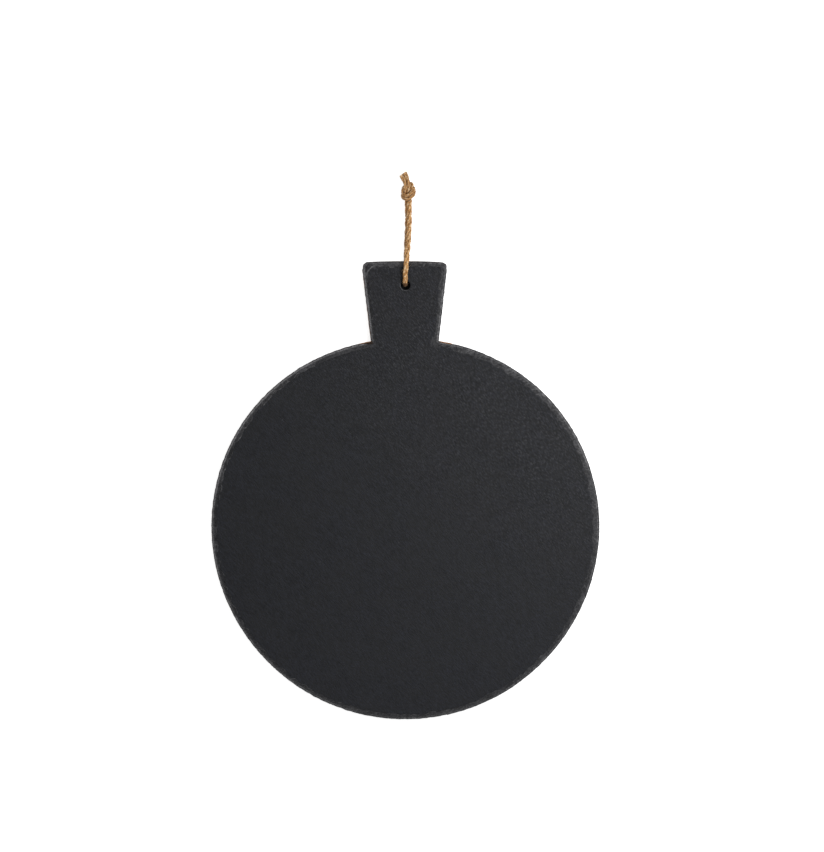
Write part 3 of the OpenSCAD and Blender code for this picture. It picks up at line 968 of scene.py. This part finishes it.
@dataclass
class Scars:
    """The scars of many flakes of one size along the rim."""

    widest: float
    flakes: list[Flake] = field(default_factory=list)
    starts: list[float] = field(default_factory=list)

    def sort(self) -> None:
        """Put the scars in order along the rim."""
        self.flakes.sort(key=lambda flake: flake.middle)
        self.starts = [flake.middle for flake in self.flakes]

    def read(self, run: float, depth_in: float) -> ScarView:
        """Read the scars at a place near the rim.

        Args:
            run: the place along the rim.
            depth_in: its distance in from the rim.

        Returns:
            What the scars are there.
        """
        best, second, inside, shade = 0.0, 0.0, 0.0, 0.5
        low = bisect_left(self.starts, run - self.widest)
        high = bisect_left(self.starts, run + self.widest)
        for flake in self.flakes[low:high]:
            across = abs(run - flake.middle - flake.slant * depth_in) / flake.half_l
            left = 1 - across ** 2.6 - (depth_in / flake.reach) ** 2
            if left > 0:
                scoop = flake.scoop * left ** 0.45
                inside = max(inside, left * min(flake.reach, flake.half_l) / 2)
                if scoop > best:
                    best, second, shade = scoop, best, flake.shade
                else:
                    second = max(second, scoop)
        ridge = smooth(best - second, 0.15 * MM, 0.03 * MM) if second > 0.08 * MM else 0.0
        return ScarView(best, shade, inside, ridge)


# The blade's rim anticlockwise from the neck's left corner
BLADE_STRETCHES = (
    EdgeStretch(0.048, 4.8, (14, 24), (4.0, 4.8), (0.2, 0.4), 0.9, 0.80, 0.1, 0.20),
    EdgeStretch(0.055, 4.2, (9, 15), (4.2, 5.0), (0.5, 0.9), 0.9, 0.95, 0.7, 0.42),
    EdgeStretch(0.055, 3.9, (9, 16), (4.2, 5.2), (0.6, 1.0), 0.8, 1.00, 0.8, 0.50),
    EdgeStretch(0.096, 3.6, (6, 14), (3.8, 5.2), (0.7, 1.2), 0.5, 0.80, 0.5, 0.45),
    EdgeStretch(0.110, 3.7, (4, 9), (3.7, 4.7), (0.6, 1.1), 0.55, 0.60, 0.4, 0.42),
    EdgeStretch(0.097, 4.0, (6, 14), (3.8, 4.7), (0.3, 0.8), 0.62, 0.28, 0.3, 0.35),
    EdgeStretch(0.108, 4.2, (6, 13), (4.1, 5.1), (0.4, 0.9), 0.68, 0.36, 0.3, 0.43),
    EdgeStretch(0.109, 4.4, (5, 14), (4.3, 5.3), (0.5, 1.1), 0.72, 0.42, 0.15, 0.56, 0.12),
    EdgeStretch(0.073, 4.4, (4, 10), (4.2, 5.2), (0.4, 0.9), 0.95, 0.65, 0.2, 0.65, 0.25),
    EdgeStretch(0.072, 4.4, (5, 12), (4.4, 5.6), (0.4, 0.9), 0.95, 0.42, 0.35, 0.65, 0.25),
)
# And then the handle's, up its right side, over its top and down its left side
STRETCHES = BLADE_STRETCHES + (
    EdgeStretch(0.030, 3.4, (5, 10), (3.0, 3.8), (0.4, 0.8), 0.7, 0.60, 0.3, 0.45, 0.2),
    EdgeStretch(0.028, 4.2, (5, 12), (3.8, 5.0), (0.4, 0.9), 0.65, 0.60, 0.4, 0.35, 0.2),
    EdgeStretch(0.062, 4.0, (4, 9), (3.4, 5.4), (0.3, 0.6), 0.8, 0.30, 0.5, 0.85),
    EdgeStretch(0.057, 3.2, (3, 8), (3.0, 4.2), (0.5, 1.0), 0.1, 1.00, 0.4, 0.40),
)


@dataclass
class SlateBoard:
    """The riven slate: a round blade and a flared handle in one slab, chipped all round by hand."""

    blade_w: float = 300 * MM
    blade_l: float = 295.5 * MM
    handle_l: float = 61.25 * MM
    neck_w: float = 52 * MM
    handle_top_w: float = 66.5 * MM
    corner_r: float = 4 * MM
    corner_steps: int = 6
    bow: float = 0.6 * MM
    handle_shift: float = -0.9 * MM
    lower_z: float = 6 * MM
    upper_z: float = 12 * MM
    hole_r: float = 3.75 * MM
    hole_inset: float = 18 * MM
    hole_shift: float = -0.3 * MM
    hole_steps: int = 72
    rim_step: float = 0.55 * MM
    ring_step: float = 0.3 * MM
    rings: int = 23
    # Points of a ring that crowd closer than this are merged
    crowd_gap: float = 0.35 * MM
    cell: float = 4 * MM
    # The face is cut into cells out to this place on either side, which is past the board's ends
    cells_half: float = 200 * MM
    # How far in from the rim the stone may be chipped or stained, and how far the flat face's waves and
    # the rim's notches take to fade into each other
    chipped_w: float = 8 * MM
    fade_w: float = 6 * MM
    wave_h: float = 0.22 * MM
    ledge: float = 0.6 * MM
    # The chipped band's fall, and the deepest that a chip may lie under the face
    drop: float = 2.6 * MM
    deepest: float = 4.6 * MM
    # Scoops of this depth leave the rim where the outline has it
    usual_scoop: float = 0.6 * MM
    flake_seed: int = 11
    nick_gap: float = 2.2 * MM
    arris_w: float = 1.0 * MM
    arris_h: float = 0.8 * MM
    wall_rows: int = 7
    # How far out of the hole its broken mouth may reach, its width and how uneven that is, and its depth
    mouth_reach: float = 2 * MM
    mouth_w: float = 0.45 * MM
    mouth_rough: float = 0.3 * MM
    mouth_h: float = 0.5 * MM
    mouth_steps: int = 8
    # The handle's top edge is taken to run this far down round each corner
    corner_ease: float = 1.5 * MM
    # How far the handle's right and left corners are worn back
    corner_wear: tuple[float, float] = (0.5 * MM, 0.9 * MM)
    # A long line of broken stone, curved like a shell, runs round inside the handle's left corner
    shell_place: Vector = field(default_factory=lambda: Vector((-21.5, 165.5, 0)) * MM)
    shell_r: float = 9.0 * MM
    top_y: float = field(init=False)
    blade_y: float = field(init=False)
    hole: Vector = field(init=False)
    tree: kdtree.KDTree | None = None
    rim: list[tuple[Vector, Vector, float]] = field(default_factory=list)
    rim_l: float = 0.0
    corner_runs: list[float] = field(default_factory=list)
    marks: dict[str, bmesh.types.BMLayerItem] = field(default_factory=dict)
    flakes: Scars = field(default_factory=lambda: Scars(18 * MM))
    nicks: Scars = field(default_factory=lambda: Scars(5 * MM))

    def __post_init__(self) -> None:
        """Work out where the blade, the handle's top and the hole lie, as the CAD source does."""
        rise = self.blade_l / 2 * math.sqrt(1 - (self.neck_w / self.blade_w) ** 2)
        board_l = self.blade_l / 2 + rise + self.handle_l
        self.top_y = board_l / 2
        self.blade_y = self.blade_l / 2 - board_l / 2
        self.hole = Vector((self.hole_shift, self.top_y - self.hole_inset, 0))

    def build(self) -> None:
        """Make the slab: its outline, chipped rings, face, hole, broken edge and underside."""
        bm = bmesh.new()
        core = self.draw_outline(bm)
        self.survey_rim(core)
        self.strike_flakes()
        self.inset_rings(bm)
        self.cut_face(bm)
        hole_edges = self.open_hole(bm)
        self.marks = {name: bm.verts.layers.float.new(name) for name in SLATE_MARKS}
        rim_edges = [e for e in bm.edges
                     if e.is_boundary and (e.verts[0].co - self.hole).length > 3 * self.hole_r]
        for v in bm.verts:
            self.shape_top(v)
        outer = self.drop_wall(bm, rim_edges)
        inner = self.drop_hole(bm, hole_edges)
        bmesh.ops.triangle_fill(bm, use_beauty=True, use_dissolve=False, edges=outer + inner, normal=-UP)
        bmesh.ops.recalc_face_normals(bm, faces=bm.faces[:])
        slab = piece(bm, "slate_slab", RivenSlate().material(), 42.0)
        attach(slab, "board")
        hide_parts("slate_board")
        log.info("slate_slab: %d faces, %d flakes and %d nicks", len(slab.data.polygons),
                 len(self.flakes.flakes), len(self.nicks.flakes))

    def draw_outline(self, bm: bmesh.types.BMesh) -> bmesh.types.BMFace:
        """Draw the board's outline: an oval opened at the neck, with the handle's sides set on.

        Args:
            bm: the mesh in work.

        Returns:
            One face that fills the outline.
        """
        blade_size = Matrix.Diagonal((self.blade_w / 2, self.blade_l / 2, 1, 1))
        place = Matrix.Translation((0, self.blade_y, 0)) @ blade_size
        steps = round(math.pi * self.blade_w / self.rim_step)
        oval = bmesh.ops.create_circle(bm, cap_ends=False, segments=steps, radius=1.0, matrix=place)["verts"]
        half = self.neck_w / 2
        neck = [v for v in oval if v.co.y > self.blade_y and abs(v.co.x - self.handle_shift) < half]
        bmesh.ops.delete(bm, geom=neck, context="VERTS")
        for v in bm.verts:
            angle = math.atan2((v.co.y - self.blade_y) / self.blade_l, v.co.x / self.blade_w)
            out = Vector((math.cos(angle) / self.blade_w, math.sin(angle) / self.blade_l, 0)).normalized()
            v.co += self.wander_at(angle) * out
        left, right = sorted((v for v in bm.verts if len(v.link_edges) == 1), key=lambda v: v.co.x)
        for end, side in ((left, -1), (right, 1)):
            x = self.handle_shift + side * half
            oval_y = self.blade_y + self.blade_l / 2 * math.sqrt(1 - (2 * x / self.blade_w) ** 2)
            end.co = (x, oval_y + self.wander_at(math.acos(2 * x / self.blade_w)), 0)
        top_half = self.handle_top_w / 2
        tops = [bm.verts.new((self.handle_shift + side * top_half, self.top_y, 0)) for side in (1, -1)]
        for pair in pairwise([right, *tops, left]):
            bm.edges.new(pair)
        bmesh.ops.bevel(bm, geom=tops, offset=self.corner_r, offset_type="OFFSET",
                        segments=self.corner_steps, profile=0.5, affect="VERTICES", material=-1)
        for edge in bm.edges[:]:
            cuts = round(edge.calc_length() / self.rim_step) - 1
            if cuts > 0:
                bmesh.ops.subdivide_edges(bm, edges=[edge], cuts=cuts)
        for v in bm.verts:
            if v.co.y > self.top_y - self.bow:
                v.co.y -= self.bow * ((v.co.x - self.handle_shift) / top_half) ** 2
        face = bmesh.ops.edgeloop_fill(bm, edges=bm.edges[:])["faces"][0]
        face.normal_update()
        if face.normal.z < 0:
            face.normal_flip()
        return face

    @staticmethod
    def wander_at(angle: float) -> float:
        """Read how far the hand-cut rim stands out of the true oval.

        Args:
            angle: the angle round the blade, from the right and anticlockwise.

        Returns:
            The distance, which is negative where the rim falls short.
        """
        place = angle / (2 * math.pi) % 1 * len(RIM_WANDER)
        before = int(place)
        low, high = RIM_WANDER[before], RIM_WANDER[(before + 1) % len(RIM_WANDER)]
        return low + (high - low) * (place - before)

    def survey_rim(self, core: bmesh.types.BMFace) -> None:
        """Note each point of the rim, the way out of the slate there and its run from the neck's left.

        Args:
            core: the face that fills the outline.
        """
        points = [v.co.copy() for v in core.verts]
        neck = Vector((self.handle_shift - self.neck_w / 2, self.top_y - self.handle_l, 0))
        first = min(range(len(points)), key=lambda i: (points[i] - neck).length)
        points = points[first:] + points[:first]
        count = len(points)
        run = 0.0
        self.tree = kdtree.KDTree(count)
        for i, p in enumerate(points):
            along = (points[(i + 1) % count] - points[i - 1]).normalized()
            self.rim.append((p, along.cross(UP), run))
            self.tree.insert(p, i)
            run += (points[(i + 1) % count] - p).length
        self.tree.balance()
        self.rim_l = run
        for side in (1, -1):
            corner = Vector((self.handle_shift + side * self.handle_top_w / 2, self.top_y, 0))
            self.corner_runs.append(self.rim[self.tree.find(corner)[1]][2] - side * self.corner_ease)

    def strike_flakes(self) -> None:
        """Strike flakes off one after another along the rim, and small nicks over them."""
        rng = random.Random(self.flake_seed)
        at = 0.0
        end = 0.0
        for stretch in STRETCHES:
            start = end
            end += stretch.share * self.rim_l
            while at < end:
                length = rng.uniform(*stretch.flake_l) * MM
                self.flakes.flakes.append(Flake(
                    at + length / 2, length * rng.uniform(0.5, 0.62), rng.uniform(*stretch.reach) * MM,
                    rng.uniform(*stretch.scoop) * MM, rng.uniform(-0.9, 0.9), rng.random()))
                at += length * 0.9
            for _ in range(round((end - start) / self.nick_gap)):
                self.nicks.flakes.append(Flake(
                    rng.uniform(start, end), rng.uniform(0.8, 2.6) * MM,
                    stretch.band * rng.uniform(0.3, 1.15) * MM, rng.uniform(0.2, 0.6) * MM,
                    rng.uniform(-1.2, 1.2), rng.random()))
        # The broad one at the handle's left corner
        self.flakes.flakes.append(Flake(middle=0.945 * self.rim_l, half_l=9 * MM, reach=5.5 * MM,
                                        scoop=0.3 * MM, slant=0.0, shade=0.8))
        self.flakes.sort()
        self.nicks.sort()

    def look_at(self, run: float) -> EdgeLook:
        """Read how the rim is chipped at a place along it, blended between the middles of the stretches.

        Args:
            run: the place along the rim.

        Returns:
            How the rim is chipped there.
        """
        ends = list(accumulate(s.share for s in STRETCHES))
        middles = [end - s.share / 2 for end, s in zip(ends, STRETCHES)]
        share = run / self.rim_l
        after = bisect_left(middles, share)
        low, high = STRETCHES[after - 1], STRETCHES[after % len(STRETCHES)]
        start = middles[after - 1] - (1 if after == 0 else 0)
        stop = middles[after % len(STRETCHES)] + (1 if after == len(STRETCHES) else 0)
        t = smooth(share, start + 0.25 * (stop - start), stop - 0.25 * (stop - start))
        pairs = ((low.band * MM, high.band * MM), (low.pale, high.pale), (low.rim_chalk_and_highlight, high.rim_chalk_and_highlight),
                 (low.flake_line, high.flake_line), (low.out * MM, high.out * MM),
                 (low.strokes, high.strokes))
        return EdgeLook(*(a + (b - a) * t for a, b in pairs))

    def near_rim(self, place: Vector) -> tuple[Vector, float, float]:
        """Find the nearest place on the rim.

        Args:
            place: a point on the face.

        Returns:
            The way out of the slate there, its run along the rim and how far in the point is.
        """
        flat = Vector((place.x, place.y, 0))
        point, out, run = self.rim[self.tree.find(flat)[1]]
        off = flat - point
        depth_in = max(-off.dot(out), 0.0) if off.length < self.rim_step * 2 else off.length
        return out, run + off.dot(UP.cross(out)), depth_in

    def inset_rings(self, bm: bmesh.types.BMesh) -> None:
        """Inset the face ring by ring, and merge the points that crowd at its corners.

        Args:
            bm: the mesh in work, with the core as its largest face.
        """
        for _ in range(self.rings):
            core = max(bm.faces, key=lambda f: len(f.verts))
            bmesh.ops.inset_region(bm, faces=[core], thickness=self.ring_step, use_boundary=True,
                                   use_even_offset=True)
            core = max(bm.faces, key=lambda f: len(f.verts))
            bmesh.ops.remove_doubles(bm, verts=core.verts[:], dist=self.crowd_gap)

    def cut_face(self, bm: bmesh.types.BMesh) -> None:
        """Cut the core into square cells, in line with the hole.

        Args:
            bm: the mesh in work, with the core as its largest face.
        """
        core = max(bm.faces, key=lambda f: len(f.verts))
        geom = [core, *core.edges, *core.verts]
        for axis in (Vector((1, 0, 0)), Vector((0, 1, 0))):
            middle = self.hole.dot(axis)
            first = math.ceil((-self.cells_half - middle) / self.cell)
            last = math.floor((self.cells_half - middle) / self.cell)
            for k in range(first, last + 1):
                at = middle + k * self.cell
                geom = bmesh.ops.bisect_plane(bm, geom=geom, dist=0.15 * MM, plane_co=axis * at,
                                              plane_no=axis)["geom"]

    def open_hole(self, bm: bmesh.types.BMesh) -> list[bmesh.types.BMEdge]:
        """Open a window in the face and fill it with fine rings down to the hole's edge.

        Args:
            bm: the mesh in work.

        Returns:
            The edges of the hole's mouth.
        """
        reach = 2 * self.cell
        window = []
        for f in bm.faces:
            off = f.calc_center_median() - self.hole
            if max(abs(off.x), abs(off.y)) < reach:
                window.append(f)
        bmesh.ops.delete(bm, geom=window, context="FACES")
        frame_edges = [e for e in bm.edges
                       if e.is_boundary and (e.verts[0].co - self.hole).length < 2 * reach]
        outer_r = 1.75 * self.hole_r
        circle = bmesh.ops.create_circle(bm, cap_ends=False, segments=self.hole_steps, radius=outer_r,
                                         matrix=Matrix.Translation(self.hole))["verts"]
        edges = list(dict.fromkeys(e for v in circle for e in v.link_edges))
        bmesh.ops.triangle_fill(bm, use_beauty=True, use_dissolve=False, edges=frame_edges + edges, normal=UP)
        back = Matrix.Translation(-self.hole)
        for k in range(self.mouth_steps):
            before = outer_r + (self.hole_r - outer_r) * k / self.mouth_steps
            after = outer_r + (self.hole_r - outer_r) * (k + 1) / self.mouth_steps
            points, edges = new_ring(bm, edges)
            bmesh.ops.scale(bm, vec=(after / before, after / before, 1), space=back, verts=points)
        return edges

    def shape_top(self, v: bmesh.types.BMVert) -> None:
        """Give a point of the flat upper face its marks and its height, and notch the rim.

        Args:
            v: the point, whose height comes from the riven waves, the chipped band and the hole's mouth.
        """
        flat = v.co.copy()
        out, run, depth_in = self.near_rim(flat)
        depth = 0.0
        if depth_in < self.chipped_w:
            depth = self.chip(v, flat, run, depth_in)
            v[self.marks["stain"]] = max(v[self.marks["stain"]], self.stain_at(flat, run, depth_in))
        from_hole = (flat - self.hole).length - self.hole_r
        if from_hole < self.mouth_reach:
            depth = self.break_mouth(v, flat, from_hole)
        v[self.marks["bruise_and_highlight"]] = max(v[self.marks["bruise_and_highlight"]], self.shell_at(flat))
        drift = Vector((flat.x * 14 + flat.y * 9, flat.y * 14 - flat.x * 9, 0)) * 1.6
        waves = self.wave_h * noise.noise(drift)
        v.co -= out * self.notch_at(run) * smooth(depth_in, self.fade_w, 0)
        v.co.z = self.upper_z + waves * smooth(depth_in, 0, self.fade_w) - depth

    def break_mouth(self, v: bmesh.types.BMVert, flat: Vector, from_hole: float) -> float:
        """Say how deep the hole's broken mouth is at a point, and mark it with a painted highlight at its
        lower left.

        Args:
            v: the point.
            flat: its place on the flat face.
            from_hole: its distance from the hole's edge.

        Returns:
            The depth.
        """
        angle = math.atan2(flat.y - self.hole.y, flat.x - self.hole.x)
        around = Vector((math.cos(angle), math.sin(angle), 3.1)) * 2.2
        mouth_w = self.mouth_w + self.mouth_rough * noise.noise(around)
        mouth = max(0.0, 1 - max(from_hole, 0) / max(mouth_w, 0.2 * MM))
        v[self.marks["scar"]] = 0.15 * smooth(mouth, 0.0, 0.3)
        # Its lower left faces the lamp and gets a painted highlight
        lit_lower_left = smooth(math.cos(angle - math.radians(235)), 0.2, 0.8)
        v[self.marks["bruise_and_highlight"]] = 0.35 * smooth(mouth, 0, 0.2) * lit_lower_left
        return self.mouth_h * mouth ** 0.8

    def shell_at(self, flat: Vector) -> float:
        """Say how pale the shell-shaped line inside the handle's left corner is.

        Args:
            flat: a point on the face.

        Returns:
            The bruise there, from 0 to 1.
        """
        away = flat - self.shell_place
        on_line = smooth(abs(away.length - self.shell_r), 0.6 * MM, 0.2 * MM)
        on_line *= smooth(math.cos(math.atan2(away.y, away.x) - math.radians(138)), 0.75, 0.9)
        return 0.45 * on_line

    def chip(self, v: bmesh.types.BMVert, flat: Vector, run: float, depth_in: float) -> float:
        """Say how deep the chipped band lies under the face at a point, and mark how broken it looks.

        Args:
            v: the point.
            flat: its place on the flat face.
            run: its place along the rim.
            depth_in: its distance in from the rim.

        Returns:
            The depth.
        """
        look = self.look_at(run)
        inner = smooth(depth_in, 0, 1.5 * MM)
        warped_in = depth_in + inner * MM * (0.3 * noise.noise(flat * 300) + 0.12 * noise.noise(flat * 1050))
        warped_run = run + MM * (0.5 * noise.noise(flat * 220 + UP) + 0.15 * noise.noise(flat * 900 + UP))
        flakes = self.flakes.read(warped_run, max(warped_in, 0.0))
        nicks = self.nicks.read(warped_run, max(warped_in, 0.0))
        reach = look.band * (1 + 0.12 * noise.noise(Vector((run * 60, 2.0, 0))))
        left = max(0.0, 1 - warped_in / reach)
        depth = self.drop * (0.35 * left + 0.65 * left ** 2) + flakes.depth + nicks.depth
        # The slate breaks in steps, and crumbs roughen them
        level = depth / self.ledge + 0.6 * noise.noise(flat * 240)
        tread = max(math.floor(level) + smooth(level - math.floor(level), 0.4, 1.0), 0)
        depth += (tread * self.ledge - depth) * 0.35 * smooth(depth, 0.1 * MM, self.ledge)
        crumbs = MM * (0.2 * noise.noise(flat * 560) + 0.16 * noise.noise(flat * 1400))
        depth = max(depth + crumbs * smooth(depth, 0.05 * MM, 0.6 * MM), 0.0)
        # The very edge is broken off lower where the rim has a pale line
        arris = smooth(depth_in, 1.0 * MM, 0.3 * MM) * smooth(look.rim_chalk_and_highlight, 0.45, 0.85)
        depth = min(depth + self.arris_h * arris, self.deepest)
        broken = smooth(depth, 0.03 * MM, 0.25 * MM)
        v[self.marks["scar"]] = broken * (0.15 + 0.85 * look.pale)
        even = 0.35 + 0.5 * look.flake_line
        dullness = smooth(0.65 * flakes.shade + 0.35 * nicks.shade, 0.2, 0.8)
        v[self.marks["shade"]] = 0.58 + even * (dullness - 0.5)
        v[self.marks["stain"]] = 0.45 * arris * smooth(noise.noise(flat * 150 + UP), -0.4, 0.1)
        lines = self.flake_lines(flat, depth_in, look.flake_line, flakes, nicks)
        stroke = smooth(noise.noise(Vector((run * 640 - depth_in * 640, depth_in * 220, 9.0))), 0.0, 0.45)
        # Bruised lines, partly painted highlight where they run round the flakes and along the rim
        v[self.marks["bruise_and_highlight"]] = max(0.7 * lines * broken, look.strokes * stroke * broken,
                                      self.rim_chalk_and_highlight(run, depth_in, look.rim_chalk_and_highlight))
        # Painted shade: dark gashes slant over the band, and a painted shadow lies as a dark lip along its
        # inner edge
        gash_shade = smooth(noise.noise(Vector((run * 380 - depth_in * 420, depth_in * 160, 4.0))), 0.12, 0.35)
        gash_shade *= smooth(depth_in, 0.9 * MM, 1.6 * MM) * smooth(depth_in, 4.2 * MM, 3.2 * MM)
        lip_shadow = smooth(noise.noise(Vector((run * 300, depth_in * 300, 8.0))), 0.0, 0.3)
        lip_shadow *= smooth(warped_in, reach - 0.9 * MM, reach - 0.3 * MM)
        lip_shadow *= smooth(warped_in, reach + 0.6 * MM, reach)
        v[self.marks["painted_slate_shade"]] = max(0.5 * gash_shade * smooth(look.pale, 0.9, 0.3),
                                    (0.3 + 0.25 * smooth(look.pale, 0.8, 0.5)) * lip_shadow)
        return depth

    @staticmethod
    def flake_lines(flat: Vector, depth_in: float, pale: float, flakes: ScarView, nicks: ScarView) -> float:
        """Say how pale the lines round flakes and nicks and on ridges between them are, partly painted
        highlight.

        Args:
            flat: a point on the face.
            depth_in: its distance in from the rim.
            pale: the share for such lines on this stretch.
            flakes: the flakes there.
            nicks: the nicks there.

        Returns:
            The palest of the lines there, from 0 to 1.
        """
        patchy = smooth(noise.noise(flat * 230), -0.12, 0.3)
        arc = smooth(flakes.inside, 0, 0.08 * MM) * smooth(flakes.inside, 0.6 * MM, 0.3 * MM)
        arc *= smooth(depth_in, 1.5 * MM, 3 * MM)
        nick_arc = smooth(nicks.inside, 0, 0.08 * MM) * smooth(nicks.inside, 0.4 * MM, 0.2 * MM)
        dash = smooth(noise.noise(flat * 330), -0.2, 0.3)
        return max(pale * patchy * arc, 0.2 * pale * nick_arc, (0.2 + 0.5 * pale) * flakes.ridge * dash,
                   (0.1 + 0.2 * pale) * nicks.ridge * dash)

    def rim_chalk_and_highlight(self, run: float, depth_in: float, pale: float) -> float:
        """Say how pale the crumbled line along the rim is: chalky, and partly painted highlight.

        Args:
            run: the place along the rim.
            depth_in: its distance in from the rim.
            pale: the share for this line on this stretch.

        Returns:
            The bruise there, from 0 to 1.
        """
        line_w = (2.4 if run > self.corner_runs[1] else 2.1) * MM
        line = pale * smooth(depth_in, line_w, 0.65 * line_w) * smooth(depth_in, 0.4 * MM, 0.9 * MM)
        crumbled = smooth(noise.noise(Vector((run * 330, depth_in * 300, 6.0))), -0.25, 0.3)
        whole = 0.3 + 0.45 * smooth(pale, 0.7, 0.9)
        return line * (whole + (1 - whole) * crumbled)

    def notch_at(self, run: float) -> float:
        """Say how far the struck flakes and worn corners pull the outline in.

        Args:
            run: the place along the rim.

        Returns:
            The distance, which is negative where the rim stands out.
        """
        scoop = self.flakes.read(run, 0.0).depth
        wander = (0.26 * noise.noise(Vector((run * 260, 7.0, 0)))
                  + 0.14 * noise.noise(Vector((run * 800, 7.0, 0))))
        if self.corner_runs[0] < run < self.corner_runs[1]:
            wander, scoop = 0.12 * wander, self.usual_scoop
        worn = sum(wear * smooth(abs(run - corner), 4.5 * MM, 1.5 * MM)
                   for wear, corner in zip(self.corner_wear, self.corner_runs))
        return 0.25 * (scoop - self.usual_scoop) + wander * MM - self.look_at(run).out + worn

    def stain_at(self, flat: Vector, run: float, depth_in: float) -> float:
        """Say how rusty the stone is: at the neck's corners and along the outermost edge of the handle.

        Args:
            flat: a point on the face.
            run: its place along the rim.
            depth_in: its distance in from the rim.

        Returns:
            The stain, from 0 to 1.
        """
        neck_run = sum(s.share for s in BLADE_STRETCHES) * self.rim_l
        stain = 0.0
        # The neck's left corner, where the rim's run starts
        if run < 14 * MM:
            wedge = 2.4 * MM * smooth(run, 9 * MM, 0) + 0.7 * MM
            stain = smooth(run, 14 * MM, 8 * MM) * (0.6 * smooth(depth_in, wedge, 0.5 * wedge)
                                                    + 0.4 * smooth(depth_in, 0.6 * MM, 0.2 * MM))
        # The neck's right corner
        if abs(run - neck_run) < 9 * MM:
            stain = smooth(depth_in, 1.1 * MM, 0.5 * MM)
            stain *= smooth(abs(run - neck_run + 3 * MM), 6 * MM, 4 * MM)
        # The handle's top and its left side
        if run > self.corner_runs[0]:
            patch = 0.5 + 0.5 * smooth(noise.noise(flat * 90), -0.3, 0.2)
            most = 0.75 if run > self.corner_runs[1] - 6 * MM else 0.5
            stain = max(stain, most * patch * smooth(depth_in, 0.9 * MM, 0.4 * MM))
        return stain

    def drop_wall(self, bm: bmesh.types.BMesh,
                  edges: list[bmesh.types.BMEdge]) -> list[bmesh.types.BMEdge]:
        """Drop the broken wall from the rim to the underside, in the slate's layers.

        Args:
            bm: the mesh in work.
            edges: the rim's edges.

        Returns:
            The edges of the underside's outline.
        """
        arris_z = self.lower_z + self.arris_h
        for row in range(1, self.wall_rows + 3):
            points, edges = new_ring(bm, edges)
            for v in points:
                out, run, _ = self.near_rim(v.co)
                base = self.rim_point(run, out, v.co)
                if row <= self.wall_rows:
                    height = v.co.z + (arris_z - v.co.z) / (self.wall_rows - row + 1)
                    layer = noise.noise(Vector((run * 60, height * 900, 2.0)))
                    fine = noise.noise(Vector((run * 400, height * 1600, 5.0)))
                    inward = 0.3 * MM * (0.5 + 0.5 * layer) + 0.12 * MM * (0.5 + 0.5 * fine)
                else:
                    chip = 0.5 + 0.5 * noise.noise(Vector((run * 120, 9.0, 0)))
                    share = (row - self.wall_rows) / 2
                    inward = share * self.arris_w * (0.5 + 0.9 * chip)
                    height = arris_z + (self.lower_z - arris_z) * share
                v.co = (base.x - out.x * inward, base.y - out.y * inward, height)
                v[self.marks["scar"]] = 0.8
                streak = noise.noise(Vector((run * 200, height * 2500, 0)))
                v[self.marks["bruise_and_highlight"]] = 0.25 * smooth(streak, 0.1, 0.5)
        return edges

    def rim_point(self, run: float, out: Vector, place: Vector) -> Vector:
        """Give the notched rim's place that a point of the wall hangs under.

        Args:
            run: the point's run along the rim.
            out: the way out of the slate there.
            place: the point.

        Returns:
            The rim's place, at the height 0.
        """
        flat = Vector((place.x, place.y, 0))
        point = self.rim[self.tree.find(flat)[1]][0]
        along = UP.cross(out)
        return point + along * (flat - point).dot(along) - out * self.notch_at(run)

    def drop_hole(self, bm: bmesh.types.BMesh,
                  edges: list[bmesh.types.BMEdge]) -> list[bmesh.types.BMEdge]:
        """Drop the drilled wall of the hole, painted dark as shade, and break out its lower mouth.

        Args:
            bm: the mesh in work.
            edges: the edges of the upper mouth.

        Returns:
            The edges of the lower mouth.
        """
        # Height over the underside and how far the wall flares there, in millimetres
        rows = ((5.0, 0.0), (3.5, 0.0), (2.0, 0.0), (0.8, 0.0), (0.4, 0.2), (0.0, 0.45))
        for height, flare in rows:
            points, edges = new_ring(bm, edges)
            for v in points:
                away = (Vector((v.co.x, v.co.y, 0)) - self.hole).normalized()
                rough = 1 + 0.5 * noise.noise(v.co * 700) if flare else 0.0
                bore_r = self.hole_r + flare * MM * rough
                v.co = self.hole + away * bore_r + UP * (self.lower_z + height * MM)
                # The hole's wall is painted dark as shade
                v[self.marks["painted_slate_shade"]] = 1.0
        return edges


@dataclass
class RubberFeet:
    """The four stuck-on feet: the CAD solids are right, and get their moulded finish here."""

    nodes: tuple[str, ...] = ("foot_upper_left", "foot_upper_right", "foot_lower_left", "foot_lower_right")

    def dress(self) -> None:
        """Give each foot the rubber's material."""
        rubber = MouldedRubber().material()
        for name in self.nodes:
            foot = bpy.data.objects[name]
            for held in foot.material_slots:
                held.material = rubber
            if not foot.material_slots:
                foot.data.materials.append(rubber)
            log.info("%s: moulded rubber", name)


def main() -> None:
    """Set up the studio, then build the loop, the slate and its feet."""
    logging.basicConfig(level=logging.INFO, format="%(name)s: %(message)s")
    Studio().set_up()
    HangingLoop().build()
    SlateBoard().build()
    RubberFeet().dress()


if __name__ == "__main__":
    main()
